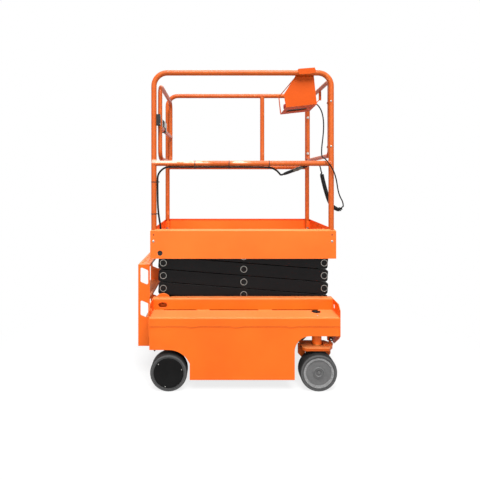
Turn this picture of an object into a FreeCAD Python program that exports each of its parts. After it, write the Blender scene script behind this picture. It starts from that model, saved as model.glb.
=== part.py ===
import FreeCAD, Part
import math
import os
import Sketcher

# Small self-propelled scissor lift, stowed, with its guardrails up. Millimetres.
# +X is the steered end, -X is the end with the ladder and the driven wheels,
# -Y is the machine's right-hand side, and z = 0 is the floor.

doc = FreeCAD.newDocument("scissor_lift")
sheet = doc.addObject("Spreadsheet::Sheet", "Sizes")

# Each row: name, millimetres (or degrees where the name ends in "_angle" or "_tilt").
DRIVING = [
    ("wheel_radius", 115), ("tyre_width", 80), ("track_half", 380), ("tyre_depth", 22),
    ("rear_axle_back", 421), ("front_axle_ahead", 510), ("wheel_gap", 10), ("hub_bore", 12),
    ("shoulder", 10), ("hub_dish", 3),
    # Chassis: plate work. An inset counts from the wheels' outer faces, at track_half.
    ("chassis_back", 544.5), ("chassis_front", 643.5), ("plate", 4), ("skirt_inset", 4),
    ("skirt_low", 72), ("tail_low", 258), ("nose_low", 343), ("fascia_low", 405),
    ("fascia_tab", 6), ("shelf_top", 458.6), ("shelf_bend", 8), ("arch_radius", 143),
    ("skirt_back", 290), ("skirt_front", 361), ("nose_arch", 95), ("beam_inset", 140),
    ("beam_reach", 46), ("beam_top", 534), ("beam_bend", 12), ("beam_flange", 6),
    ("slot_width", 4), ("cheek_top", 533), ("cheek_chamfer", 30), ("lash_inset_rear", 70),
    ("lash_inset_front", 118), ("lash_high", 490), ("lash_radius", 16), ("bay_sill", 90),
    ("ear_radius", 55), ("ear_width", 10), ("hand_hole_back", 478), ("hand_hole_high", 490),
    ("hand_hole_long", 58), ("hand_hole_tall", 34), ("access_ahead", 521),
    ("access_inset", 110), ("access_radius", 30), ("chin_low", 248), ("chin_side", 28),
    ("battery_gap", 20), ("motor_radius", 58), ("motor_length", 140), ("motor_strap", 50),
    # Scissor pack.
    ("arm_pitch", 1083.9), ("stow_tilt", 4.51), ("arm_height", 79), ("arm_width", 30),
    ("arm_head", 33), ("arm_tail", 25), ("arm_corner", 16), ("arm_inset", 74),
    ("arm_gap", 8), ("pin_radius", 24), ("pin_bore", 15.5), ("pin_proud", 1.5),
    ("run_fit", 0.05), ("open_fit", 0.4), ("seat_gap", 0.3), ("tie_radius", 20),
    ("pivot_back", 482), ("pivot_high", 500.2), ("inner_tie_along", 195),
    ("roller_radius", 22), ("roller_width", 28), ("roller_play", 2), ("track_start", 130),
    ("ram_low_along", 563), ("ram_low_across", 58), ("ram_high_along", 1001),
    ("ram_high_across", 54), ("ram_radius", 30), ("ram_bore", 24), ("rod_radius", 17),
    ("ram_angle", 20.04), ("ram_length", 464.4), ("rod_end_gap", 1), ("ram_pin", 12),
    ("ram_stroke_left", 110), ("lug_width", 10), ("foot_lug_in", 34), ("head_lug_in", 30),
    # Ladder.
    ("ladder_back", 643.5), ("ladder_reach", 77), ("ladder_inset", 18), ("ladder_low", 213),
    ("ladder_high", 753), ("tread_pitch", 219), ("tread_drop", 28), ("tread_plate", 3),
    ("tread_lip", 15), ("grip_drop", 17), ("grip_tall", 98), ("grip_slope", 22),
    ("grip_back", 15), ("grip_front", 11), ("grip_corner", 9),
    # Platform. Heights above the deck end in _rise.
    ("deck_back", 543.5), ("deck_front", 632.5), ("deck_inset", 50), ("deck_plate", 4),
    ("deck_top", 900), ("toe_drop", 86), ("toe_rise", 100), ("toe_wall", 3), ("toe_lip", 10),
    ("toe_fold", 12), ("member_depth", 28), ("member_half", 20), ("outrigger_half", 15),
    ("post_inset", 20), ("rear_post_back", 523.5), ("front_post_ahead", 607),
    ("foot_plate", 4), ("foot_size", 60), ("rear_foot_size", 48), ("tube_radius", 17),
    ("rail_rise", 1095), ("mid_rise", 518), ("rail_bend", 85), ("stay_ahead", 243),
    ("slim_radius", 14), ("end_drop", 40), ("end_mid_rise", 570), ("end_bend", 40),
    ("gate_ahead", 32), ("gate_inset", 34), ("gate_low_rise", 552), ("gate_drop", 65),
    ("gate_bend", 60), ("gate_cross_rise", 755), ("hinge_radius", 9), ("hinge_pin", 5),
    ("hinge_low_rise", 700), ("hinge_pitch", 200), ("hinge_height", 24), ("hinge_strap", 12),
    ("latch_low_rise", 759), ("latch_height", 71), ("latch_depth", 24),
    # Control guard, hooked on the right-hand top rail, and the box in its tray.
    ("guard_ahead", 394), ("guard_sheet", 3), ("guard_reach", 160),
    # Front knuckles.
    ("kingpin_lead", 6), ("kingpin_inset", 75), ("kingpin_radius", 23),
    ("housing_radius", 30), ("housing_low", 272), ("bridge_rise", 30), ("bridge_plate", 8),
    ("bridge_half", 60), ("knuckle_top", 260), ("knuckle_plate", 17), ("knuckle_corner", 14),
    ("steer_arm", 85), ("steer_arm_half", 18), ("steer_pin", 8), ("tie_high", 302),
    ("tie_rod_radius", 9),
]
for line, (alias, value) in enumerate(DRIVING, start=1):
    sheet.set("A%d" % line, alias)
    sheet.set("B%d" % line, str(value))
    sheet.setAlias("B%d" % line, alias)
doc.recompute()


class Size:
    """A number that also knows the sheet formula that gives it."""

    def __init__(self, value, text):
        self.value = value
        self.text = text

    def __add__(self, other):
        other = as_size(other)
        return Size(self.value + other.value, "(%s + %s)" % (self.text, other.text))

    def __sub__(self, other):
        other = as_size(other)
        return Size(self.value - other.value, "(%s - %s)" % (self.text, other.text))

    def __mul__(self, other):
        other = as_size(other)
        return Size(self.value * other.value, "%s * %s" % (self.text, other.text))

    def __truediv__(self, other):
        other = as_size(other)
        return Size(self.value / other.value, "%s / %s" % (self.text, other.text))

    def __radd__(self, other):
        return as_size(other) + self

    def __rsub__(self, other):
        return as_size(other) - self

    def __rmul__(self, other):
        return as_size(other) * self

    def __neg__(self):
        return Size(-self.value, "(0 - %s)" % self.text)


def as_size(number):
    if isinstance(number, Size):
        return number
    return Size(float(number), "(%r)" % float(number))


def sine(angle):
    return Size(math.sin(math.radians(angle.value)), "sin(%s)" % angle.text)


def cosine(angle):
    return Size(math.cos(math.radians(angle.value)), "cos(%s)" % angle.text)


class Sheet:
    """Reads a driving dimension by its name in the sheet."""

    def __getattr__(self, alias):
        return Size(float(sheet.get(alias)), "Sizes." + alias)


d = Sheet()


def bind(thing, where, size):
    thing.setExpression(where, as_size(size).text)


def bind_place(thing, x, y, z):
    for axis, size in zip("xyz", (x, y, z)):
        bind(thing, "Placement.Base." + axis, size)


def new_body(label):
    body = doc.addObject("PartDesign::Body", label)
    body.Label = label
    body.AllowCompound = True
    return body


def new_sketch(body, plane, offset=0):
    """A sketch on an origin plane: XZ looks along +Y, so its offset runs towards -Y."""
    sketch = body.newObject("Sketcher::SketchObject", "Sketch")
    support = [f for f in body.Origin.OriginFeatures if f.Role == plane + "_Plane"][0]
    sketch.AttachmentSupport = [(support, "")]
    sketch.MapMode = "FlatFace"
    bind(sketch, "AttachmentOffset.Base.z", offset)
    return sketch


def hold(sketch, geometry, point, axis, size):
    size = as_size(size)
    row = sketch.addConstraint(
        Sketcher.Constraint("Distance" + axis, -1, 1, geometry, point, size.value))
    sketch.setExpression("Constraints[%d]" % row, size.text)


def draw_loop(sketch, corners):
    """Closes a loop. A corner is (u, v), or (u, v, centre_u, centre_v, turn) for an arc."""
    first = sketch.GeometryCount
    count = len(corners)
    for here, following in zip(corners, corners[1:] + corners[:1]):
        u, v = as_size(here[0]).value, as_size(here[1]).value
        far_u, far_v = as_size(following[0]).value, as_size(following[1]).value
        if len(here) == 2:
            edge = Part.LineSegment(FreeCAD.Vector(u, v, 0), FreeCAD.Vector(far_u, far_v, 0))
        else:
            mid_u, mid_v = as_size(here[2]).value, as_size(here[3]).value
            start = math.atan2(v - mid_v, u - mid_u)
            end = math.atan2(far_v - mid_v, far_u - mid_u)
            if here[4] < 0:
                start, end = end, start
            if end < start:
                end += 2 * math.pi
            circle = Part.Circle(FreeCAD.Vector(mid_u, mid_v, 0), FreeCAD.Vector(0, 0, 1),
                                 math.hypot(u - mid_u, v - mid_v))
            edge = Part.ArcOfCircle(circle, start, end)
        sketch.addGeometry(edge, False)
    for i, here in enumerate(corners):
        following = corners[(i + 1) % count]
        drawn_back = len(here) == 5 and here[4] < 0
        next_drawn_back = len(following) == 5 and following[4] < 0
        hold(sketch, first + i, 2 if drawn_back else 1, "X", here[0])
        hold(sketch, first + i, 2 if drawn_back else 1, "Y", here[1])
        sketch.addConstraint(Sketcher.Constraint(
            "Coincident", first + i, 1 if drawn_back else 2,
            first + (i + 1) % count, 2 if next_drawn_back else 1))
        if len(here) == 5:
            run = abs(as_size(following[0]).value - as_size(here[0]).value)
            rise = abs(as_size(following[1]).value - as_size(here[1]).value)
            if run > rise:
                hold(sketch, first + i, 3, "Y", here[3])
            else:
                hold(sketch, first + i, 3, "X", here[2])


def draw_circle(sketch, u, v, radius):
    u, v, radius = as_size(u), as_size(v), as_size(radius)
    row = sketch.addGeometry(Part.Circle(
        FreeCAD.Vector(u.value, v.value, 0), FreeCAD.Vector(0, 0, 1), radius.value), False)
    if abs(u.value) > 1e-9 or abs(v.value) > 1e-9:
        hold(sketch, row, 3, "X", u)
        hold(sketch, row, 3, "Y", v)
    else:
        sketch.addConstraint(Sketcher.Constraint("Coincident", -1, 1, row, 3))
    line = sketch.addConstraint(Sketcher.Constraint("Radius", row, radius.value))
    sketch.setExpression("Constraints[%d]" % line, radius.text)


def rectangle(u0, v0, u1, v1):
    return [(u0, v0), (u1, v0), (u1, v1), (u0, v1)]


def rounded(u0, v0, u1, v1, bend):
    """A rectangle, walked anticlockwise, with all four corners rounded."""
    return [
        (u0 + bend, v0), (u1 - bend, v0, u1 - bend, v0 + bend, 1),
        (u1, v0 + bend), (u1, v1 - bend, u1 - bend, v1 - bend, 1),
        (u1 - bend, v1), (u0 + bend, v1, u0 + bend, v1 - bend, 1),
        (u0, v1 - bend), (u0, v0 + bend, u0 + bend, v0 + bend, 1),
    ]


def long_hole(u, v, length, height):
    """A slot with round ends about a centre, walked anticlockwise."""
    reach = (length - height) / 2
    return [
        (u - reach, v - height / 2), (u + reach, v - height / 2, u + reach, v, 1),
        (u + reach, v + height / 2), (u - reach, v + height / 2, u - reach, v, 1),
    ]


def pad(body, sketch, length):
    feature = body.newObject("PartDesign::Pad", "Pad")
    feature.Profile = sketch
    bind(feature, "Length", length)
    sketch.Visibility = False
    return feature


def side_plate(body, side, inner, thickness, loops, circles=()):
    """Pads a profile drawn in X and Z between |y| = inner and |y| = inner + thickness."""
    offset = inner if side < 0 else -(inner + thickness)
    sketch = new_sketch(body, "XZ", offset)
    for loop in loops:
        draw_loop(sketch, loop)
    for u, v, radius in circles:
        draw_circle(sketch, u, v, radius)
    return pad(body, sketch, thickness)


def across(body, low_y, high_y, loops, circles=()):
    """Pads a profile drawn in X and Z from y = low_y to y = high_y."""
    sketch = new_sketch(body, "XZ", -as_size(high_y))
    for loop in loops:
        draw_loop(sketch, loop)
    for u, v, radius in circles:
        draw_circle(sketch, u, v, radius)
    return pad(body, sketch, as_size(high_y) - low_y)


def along(body, low_x, high_x, loops, circles=()):
    """Pads a profile drawn in Y and Z from x = low_x to x = high_x."""
    sketch = new_sketch(body, "YZ", low_x)
    for loop in loops:
        draw_loop(sketch, loop)
    for u, v, radius in circles:
        draw_circle(sketch, u, v, radius)
    return pad(body, sketch, as_size(high_x) - low_x)


def upward(body, low_z, high_z, loops, circles=()):
    """Pads a profile drawn in X and Y from z = low_z to z = high_z."""
    sketch = new_sketch(body, "XY", low_z)
    for loop in loops:
        draw_loop(sketch, loop)
    for u, v, radius in circles:
        draw_circle(sketch, u, v, radius)
    return pad(body, sketch, as_size(high_z) - low_z)


def cut(body, plane, offset, depth, loops, circles=()):
    """Cuts a profile from a plane: downwards from XY, and towards +Y from XZ."""
    sketch = new_sketch(body, plane, offset)
    for loop in loops:
        draw_loop(sketch, loop)
    for u, v, radius in circles:
        draw_circle(sketch, u, v, radius)
    feature = body.newObject("PartDesign::Pocket", "Pocket")
    feature.Profile = sketch
    bind(feature, "Length", depth)
    sketch.Visibility = False
    return feature


def loft(body, kind, plane, offsets, loops):
    """Joins two profiles on parallel planes with flat faces. Kind: Additive or Subtractive."""
    sketches = []
    for offset, loop in zip(offsets, loops):
        sketches.append(new_sketch(body, plane, offset))
        draw_loop(sketches[-1], loop)
    feature = body.newObject("PartDesign::%sLoft" % kind, "Loft")
    feature.Profile = sketches[0]
    feature.Sections = sketches[1:]
    feature.Ruled = True
    return feature


def soften(body, radius, chosen):
    """Rounds those edges of the body so far that a test of the edge chooses."""
    doc.recompute()
    tip = body.Tip
    names = ["Edge%d" % count for count, edge in enumerate(tip.Shape.Edges, start=1)
             if chosen(edge)]
    feature = body.newObject("PartDesign::Fillet", "Fillet")
    feature.Base = (tip, names)
    bind(feature, "Radius", radius)
    return feature


def runs_along(edge, axis):
    """Whether a straight edge runs along an axis, given as x, y or z."""
    box = edge.BoundBox
    spans = {"x": box.XLength, "y": box.YLength, "z": box.ZLength}
    return all(span < 0.01 for name, span in spans.items() if name != axis)


def spin(body, corners, axis="V_Axis", plane="XY", offset=0):
    """Revolves a closed outline about a sketch axis."""
    sketch = new_sketch(body, plane, offset)
    draw_loop(sketch, corners)
    feature = body.newObject("PartDesign::Revolution", "Revolution")
    feature.Profile = sketch
    feature.ReferenceAxis = (sketch, [axis])
    feature.Angle = 360
    return feature


def bent_tube(radius, points, bend=None):
    """A round tube's outer form: straight runs through points, joined by tangent arcs.

    With no bend each arc is as large as its two runs allow, as in a free cord.
    """
    runs = [FreeCAD.Vector(*[as_size(part).value for part in point]) for point in points]
    edges, here, radii = [], runs[0], []
    for before, corner, after in zip(runs, runs[1:], runs[2:]):
        back, ahead = before - corner, after - corner
        shorter = min(back.Length, ahead.Length)
        back.normalize()
        ahead.normalize()
        half = math.acos(max(-1.0, min(1.0, back.dot(ahead)))) / 2
        reach = as_size(bend).value / math.tan(half) if bend is not None else 0.45 * shorter
        arc_radius = reach * math.tan(half)
        radii.append(round(arc_radius))
        start, end = corner + back * reach, corner + ahead * reach
        middle = corner + (back + ahead).normalize() * (arc_radius / math.sin(half) - arc_radius)
        edges += [Part.LineSegment(here, start).toShape(), Part.Arc(start, middle, end).toShape()]
        here = end
    edges.append(Part.LineSegment(here, runs[-1]).toShape())
    wire = Part.Wire(edges)
    ring = Part.Wire([Part.Circle(runs[0], runs[1] - runs[0], as_size(radius).value).toShape()])
    tube = wire.makePipeShell([ring], True, False)
    if bend is None:
        section = math.pi * as_size(radius).value ** 2
        print("bends", radii, "volume share", round(tube.Volume / section / wire.Length, 4))
    return tube


def solid_feature(label, shape):
    """Holds a shape that the sheet's sizes gave, as one named piece of the document."""
    feature = doc.addObject("Part::Feature", label)
    feature.Label = label
    feature.Shape = shape
    return feature


nodes = []
SIDES = (("right", -1), ("left", 1))

# Places that several pieces share.
beam_out = d.track_half - d.beam_inset
beam_in = beam_out - d.beam_reach
inner_plane = beam_in - d.arm_inset
outer_plane = inner_plane + d.arm_width + d.arm_gap
outer_face = outer_plane + d.arm_width
arm_rise = d.arm_pitch * sine(d.stow_tilt)
arm_run = d.arm_pitch * cosine(d.stow_tilt)
left_pin_x = -d.pivot_back
right_pin_x = arm_run - d.pivot_back
stages = 4
cover_out = d.track_half - d.skirt_inset
between_back = d.plate - d.chassis_back
between_front = d.chassis_front - d.plate


def level(number):
    """Height of a row of pins, counted from the chassis."""
    return d.pivot_high + arm_rise * number


# Main beams: C-shaped, with a bent upper corner, the roller track inside and a hand hole
# beside the fixed pivot.
track_top = d.pivot_high - d.roller_radius - d.seat_gap
pan_top = d.nose_low + d.plate
ear_edge = beam_in + d.ear_width
for name, side in SIDES:
    beam = new_body("main_beam_" + name)
    bend_y = side * (beam_out - d.beam_bend)
    bend_z = d.beam_top - d.beam_bend
    along(beam, between_back, between_front, [[
        (side * beam_out, d.nose_low),
        (side * beam_out, bend_z, bend_y, bend_z, side),
        (bend_y, d.beam_top), (side * ear_edge, d.beam_top),
        (side * ear_edge, d.beam_top - d.plate),
        (bend_y, d.beam_top - d.plate, bend_y, bend_z, -side),
        (side * (beam_out - d.plate), bend_z), (side * (beam_out - d.plate), d.nose_low),
    ]])
    along(beam, left_pin_x + d.ear_radius + 1, between_front, [rectangle(
        side * beam_in, d.beam_top - d.plate, side * (ear_edge + 1), d.beam_top)])
    along(beam, d.track_start, between_front, [rectangle(
        side * beam_in, track_top - d.beam_flange, side * (beam_out - 1), track_top)])
    cut(beam, "XZ", -(side * (beam_out - d.plate / 2) - d.plate), 2 * d.plate, [long_hole(
        -d.hand_hole_back, d.hand_hole_high, d.hand_hole_long, d.hand_hole_tall)])
    nodes.append(beam)

# Chassis frame: end plates, the floor pan of the bay, ears for the fixed pivot, and the
# bridges and sleeves that hold the kingpins. The front plate reaches down as a chin.
frame = new_body("chassis_frame")
bay_low = d.nose_low + d.bay_sill
corner_out = d.track_half - d.cheek_chamfer
end_outline = [
    (d.track_half, d.nose_low), (d.track_half, d.cheek_top - d.cheek_chamfer),
    (corner_out, d.cheek_top), (beam_in, d.cheek_top), (beam_in, bay_low),
    (-beam_in, bay_low), (-beam_in, d.cheek_top), (-corner_out, d.cheek_top),
    (-d.track_half, d.cheek_top - d.cheek_chamfer), (-d.track_half, d.nose_low)]
chin_half = d.track_half - d.lash_inset_front
chin_side = d.track_half - d.chin_side
chin = [
    (-chin_side, d.nose_low - d.chin_side), (-chin_half, d.chin_low), (chin_half, d.chin_low),
    (chin_side, d.nose_low - d.chin_side)]
for low_x, outline, lash_inset in ((-d.chassis_back, end_outline, d.lash_inset_rear),
                                   (between_front, end_outline + chin, d.lash_inset_front)):
    along(frame, low_x, low_x + d.plate, [outline], [
        (side * (d.track_half - lash_inset), d.lash_high, d.lash_radius)
        for name, side in SIDES])
upward(frame, d.nose_low, pan_top, [rectangle(
    between_back, d.plate - beam_out, between_front, beam_out - d.plate)])
kingpin_x = d.front_axle_ahead + d.kingpin_lead
kingpin_out = d.track_half - d.kingpin_inset
bridge_low = d.nose_low + d.bridge_rise
bridge_top = bridge_low + d.bridge_plate
for name, side in SIDES:
    side_plate(frame, side, beam_in, d.ear_width, [[
        (left_pin_x + d.ear_radius, pan_top),
        (left_pin_x + d.ear_radius, d.pivot_high, left_pin_x, d.pivot_high, 1),
        (left_pin_x - d.ear_radius, d.pivot_high), (left_pin_x - d.ear_radius, pan_top),
    ]], [(left_pin_x, d.pivot_high, d.pin_radius + d.run_fit)])
    upward(frame, bridge_low, bridge_top, [rectangle(
        kingpin_x - d.bridge_half, side * beam_out,
        kingpin_x + d.bridge_half, side * (cover_out - d.plate - 1))],
        [(kingpin_x, side * kingpin_out, d.kingpin_radius + d.run_fit)])
    upward(frame, d.housing_low, bridge_top, [], [
        (kingpin_x, side * kingpin_out, d.housing_radius),
        (kingpin_x, side * kingpin_out, d.kingpin_radius + d.run_fit)])
nodes.append(frame)

# Fixed pivot of the lowest arms, a hollow shaft right across between the ears.
base_shaft = new_body("base_pivot_shaft")
shaft_half = ear_edge + d.pin_proud
across(base_shaft, -shaft_half, shaft_half, [], [
    (left_pin_x, d.pivot_high, d.pin_radius), (left_pin_x, d.pivot_high, d.pin_bore)])
nodes.append(base_shaft)

# Side shelves: folded plates whose outer edge turns down as the fascia. Tabs join them to
# the beams, small ones hang over the covers, and a round hole gives access to the kingpin.
# Each row: where a tab starts and ends along X.
BEAM_TABS = ((between_back, as_size(-472)), (as_size(-253), as_size(-173)),
             (as_size(151), as_size(236)), (as_size(545), between_front))
FASCIA_TABS = ((-298, -251), (-28, 24), (320, 358))
for name, side in SIDES:
    shelf = new_body("side_shelf_" + name)
    inner_edge = beam_out + d.slot_width
    bend_y = side * (d.track_half - d.shelf_bend)
    bend_z = d.shelf_top - d.shelf_bend
    fascia_in = d.track_half - d.plate
    along(shelf, between_back, between_front, [[
        (side * inner_edge, d.shelf_top), (bend_y, d.shelf_top, bend_y, bend_z, -side),
        (side * d.track_half, bend_z), (side * d.track_half, d.fascia_low),
        (side * fascia_in, d.fascia_low), (side * fascia_in, bend_z, bend_y, bend_z, side),
        (bend_y, d.shelf_top - d.plate), (side * inner_edge, d.shelf_top - d.plate),
    ]])
    for start, end in BEAM_TABS:
        upward(shelf, d.shelf_top - d.plate, d.shelf_top, [rectangle(
            start, side * beam_out, end, side * (inner_edge + 1))])
    for start, end in FASCIA_TABS:
        side_plate(shelf, side, fascia_in, d.plate, [[
            (start - d.fascia_tab, d.fascia_low + 1), (start - d.fascia_tab, d.fascia_low),
            (as_size(start), d.fascia_low - d.fascia_tab),
            (as_size(end), d.fascia_low - d.fascia_tab),
            (end + d.fascia_tab, d.fascia_low), (end + d.fascia_tab, d.fascia_low + 1)]])
    cut(shelf, "XY", d.shelf_top + 1, d.plate + 2, [], [
        (d.access_ahead, side * (d.track_half - d.access_inset), d.access_radius)])
    nodes.append(shelf)

# Side covers, cut round the wheels.
nose_arch_x = d.skirt_front + d.nose_arch
nose_arch_z = d.nose_low - d.nose_arch
arch_reach = d.rear_axle_back - d.skirt_back
for name, side in SIDES:
    cover = new_body("side_cover_" + name)
    arch_meet = d.wheel_radius + Size(
        math.sqrt(d.arch_radius.value ** 2 - arch_reach.value ** 2),
        "sqrt(%s ^ 2 - %s ^ 2)" % (d.arch_radius.text, arch_reach.text))
    side_plate(cover, side, cover_out - d.plate, d.plate, [[
        (-d.skirt_back, d.skirt_low), (d.skirt_front, d.skirt_low),
        (d.skirt_front, nose_arch_z, nose_arch_x, nose_arch_z, -1),
        (nose_arch_x, d.nose_low), (between_front, d.nose_low),
        (between_front, d.shelf_top - d.shelf_bend), (between_back, d.shelf_top - d.shelf_bend),
        (between_back, d.tail_low), (-d.rear_axle_back, d.tail_low,
                                     -d.rear_axle_back, d.wheel_radius, -1),
        (-d.skirt_back, arch_meet),
    ]])
    nodes.append(cover)

# Battery and pump compartment: a plain heavy block between the axles.
battery = new_body("battery_pack")
battery_half = d.track_half - d.battery_gap
upward(battery, d.skirt_low + 2 * d.plate, d.nose_low, [rectangle(
    d.battery_gap - d.skirt_back, -battery_half, d.skirt_front - d.battery_gap, battery_half)])
nodes.append(battery)

# Drive motors behind the rear wheels, strapped to the bay floor.
for name, side in SIDES:
    motor = new_body("drive_motor_" + name)
    motor_out = d.track_half - d.tyre_width - d.wheel_gap
    motor_in = motor_out - d.motor_length
    strap_in = motor_in + d.motor_strap - d.wheel_gap
    side_plate(motor, side, motor_in, d.motor_length, [], [
        (-d.rear_axle_back, d.wheel_radius, d.motor_radius)])
    side_plate(motor, side, motor_out, d.tyre_width + d.wheel_gap - d.ear_width - 20, [], [
        (-d.rear_axle_back, d.wheel_radius, d.hub_bore)])
    side_plate(motor, side, strap_in, d.motor_strap - d.wheel_gap, [rectangle(
        -d.rear_axle_back - d.motor_strap, d.wheel_radius,
        d.motor_strap - d.rear_axle_back, d.nose_low)])
    nodes.append(motor)

# Ladder: two cheeks with sloping grip holes, bolted behind the chassis, and folded treads.
ladder = new_body("ladder_cheeks")
ladder_out = beam_out - d.ladder_inset
ladder_front = d.ladder_reach - d.ladder_back
grip_back = d.grip_back - d.ladder_back
grip_front = ladder_front - d.grip_front
grip_tops = [d.ladder_high - d.grip_drop - d.tread_pitch * step for step in range(2)]
for name, side in SIDES:
    grips = [[
        (grip_back, top - d.grip_tall), (grip_front, top - d.grip_tall - d.grip_slope),
        (grip_front, top - d.grip_slope), (grip_back, top)] for top in grip_tops]
    side_plate(ladder, side, ladder_out - d.plate, d.plate, [[
        (-d.ladder_back, d.ladder_low), (ladder_front, d.ladder_low),
        (ladder_front, d.nose_low), (-d.chassis_back, d.nose_low),
        (-d.chassis_back, d.fascia_low), (ladder_front, d.shelf_top),
        (ladder_front, d.ladder_high), (-d.ladder_back, d.ladder_high)]] + grips)
soften(ladder, d.grip_corner, lambda edge: runs_along(edge, "y") and any(
    top.value - 130 < edge.CenterOfMass.z < top.value + 1 and
    grip_back.value - 1 < edge.CenterOfMass.x < grip_front.value + 1 for top in grip_tops))
nodes.append(ladder)
treads = new_body("ladder_treads")
thin = d.tread_plate
for step in range(3):
    tread_z = d.ladder_high - d.tread_pitch * step
    across(treads, d.plate - ladder_out, ladder_out - d.plate, [[
        (-d.ladder_back, tread_z - d.tread_drop),
        (thin - d.ladder_back, tread_z - d.tread_drop), (thin - d.ladder_back, tread_z - thin),
        (ladder_front - thin, tread_z - thin), (ladder_front - thin, tread_z - d.tread_lip),
        (ladder_front, tread_z - d.tread_lip), (ladder_front, tread_z),
        (-d.ladder_back, tread_z)]])
nodes.append(treads)


def arm_outline():
    """An arm's side in its own line, from its left pin, with rounded corners."""
    return rounded(-d.arm_head, -d.arm_height / 2, d.arm_pitch + d.arm_tail,
                   d.arm_height / 2, d.arm_corner)


def place_arm(body, number, slope):
    """Tilts an arm about its left pin: slope 1 rises to the right, -1 falls."""
    body.Placement.Rotation = FreeCAD.Rotation(FreeCAD.Vector(0, -slope, 0), 1)
    body.setExpression("Placement.Rotation.Angle", d.stow_tilt.text)
    bind_place(body, left_pin_x, as_size(0), level(number))


# Scissor pack: each stage is an inner pair that rises to the right and an outer pair that
# falls to the right, with hollow pivot shafts carried by the outer pair.
for stage in range(1, stages + 1):
    inner = new_body("inner_arms_%d" % stage)
    right_fit = d.open_fit if stage < stages else as_size(0)
    for name, side in SIDES:
        side_plate(inner, side, inner_plane, d.arm_width, [arm_outline()], [
            (as_size(0), as_size(0), d.pin_radius + d.run_fit),
            (d.arm_pitch / 2, as_size(0), d.pin_radius + d.run_fit),
            (d.arm_pitch, as_size(0), d.pin_radius + right_fit)])
    across(inner, -inner_plane, inner_plane, [], [
        (d.inner_tie_along, as_size(0), d.tie_radius)])
    if stage == 1:
        # Cross tube and lugs for the foot of the lift cylinder.
        across(inner, -inner_plane, inner_plane, [], [
            (d.ram_low_along, as_size(0), d.tie_radius)])
        foot_lug = d.ram_pin + d.lug_width
        for name, side in SIDES:
            side_plate(inner, side, d.foot_lug_in, d.lug_width, [[
                (d.ram_low_along + foot_lug, as_size(0)),
                (d.ram_low_along - foot_lug, as_size(0)),
                (d.ram_low_along - foot_lug, -d.ram_low_across,
                 d.ram_low_along, -d.ram_low_across, 1),
                (d.ram_low_along + foot_lug, -d.ram_low_across)]],
                [(d.ram_low_along, -d.ram_low_across, d.ram_pin + d.run_fit)])
    place_arm(inner, stage - 1, 1)
    nodes.append(inner)

    outer = new_body("outer_arms_%d" % stage)
    for name, side in SIDES:
        side_plate(outer, side, outer_plane, d.arm_width, [arm_outline()], [
            (as_size(0), as_size(0), d.pin_radius),
            (d.arm_pitch / 2, as_size(0), d.pin_radius),
            (d.arm_pitch, as_size(0), d.pin_radius)])
    place_arm(outer, stage, -1)
    nodes.append(outer)

    shafts = new_body("pivot_shafts_%d" % stage)
    reach = outer_face + d.pin_proud
    left_reach = reach if stage < stages else ear_edge + d.pin_proud
    for pin_x, half in ((as_size(0), left_reach), (d.arm_pitch, reach)):
        across(shafts, -half, half, [], [
            (pin_x, as_size(0), d.pin_radius), (pin_x, as_size(0), d.pin_bore)])
    for name, side in SIDES:
        side_plate(shafts, side, inner_plane + 0.5, reach - inner_plane - 0.5, [], [
            (d.arm_pitch / 2, as_size(0), d.pin_radius),
            (d.arm_pitch / 2, as_size(0), d.pin_bore)])
    if stage == 2:
        # Two lugs on the right-hand shaft, either side of the lift cylinder's rod eye.
        for name, side in SIDES:
            side_plate(shafts, side, d.head_lug_in, d.lug_width, [[
                (d.ram_high_along - 20, d.ram_high_across),
                (d.arm_pitch - d.pin_radius, -d.ram_pin),
                (d.arm_pitch, -d.pin_radius - d.lug_width),
                (d.arm_pitch + d.pin_radius, -d.ram_pin),
                (d.ram_high_along + 24, d.ram_high_across + 20),
                (d.ram_high_along - 8, d.ram_high_across + 24)]],
                [(d.arm_pitch, as_size(0), d.pin_radius)])
    place_arm(shafts, stage, -1)
    nodes.append(shafts)

# Rollers at the sliding ends: two below on the lowest outer arms, two above on the top
# inner arms, where their axle is also the pin.
axle_radius = d.pin_bore - 0.5
roller_in = beam_in + 6
lower = new_body("lower_rollers")
for name, side in SIDES:
    side_plate(lower, side, outer_plane, roller_in - outer_plane, [], [
        (right_pin_x, level(0), axle_radius)])
    side_plate(lower, side, roller_in, d.roller_width, [], [
        (right_pin_x, level(0), d.roller_radius)])
nodes.append(lower)
upper = new_body("upper_rollers")
across(upper, -roller_in, roller_in, [], [(right_pin_x, level(stages), axle_radius)])
for name, side in SIDES:
    side_plate(upper, side, roller_in, d.roller_width, [], [
        (right_pin_x, level(stages), d.roller_radius)])
    side_plate(upper, side, inner_plane, d.arm_width + d.pin_proud, [], [
        (right_pin_x, level(stages), d.pin_radius)])
nodes.append(upper)

# Lift cylinder, drawn along its own line from its foot pin.
ram_x = left_pin_x + d.ram_low_along * cosine(d.stow_tilt) + d.ram_low_across * sine(d.stow_tilt)
ram_z = level(0) + d.ram_low_along * sine(d.stow_tilt) - d.ram_low_across * cosine(d.stow_tilt)


def place_ram(body):
    body.Placement.Rotation = FreeCAD.Rotation(FreeCAD.Vector(0, -1, 0), 1)
    body.setExpression("Placement.Rotation.Angle", d.ram_angle.text)
    bind_place(body, ram_x, as_size(0), ram_z)


def ram_turned(body, corners):
    spin(body, corners, axis="H_Axis", plane="XY")


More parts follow.
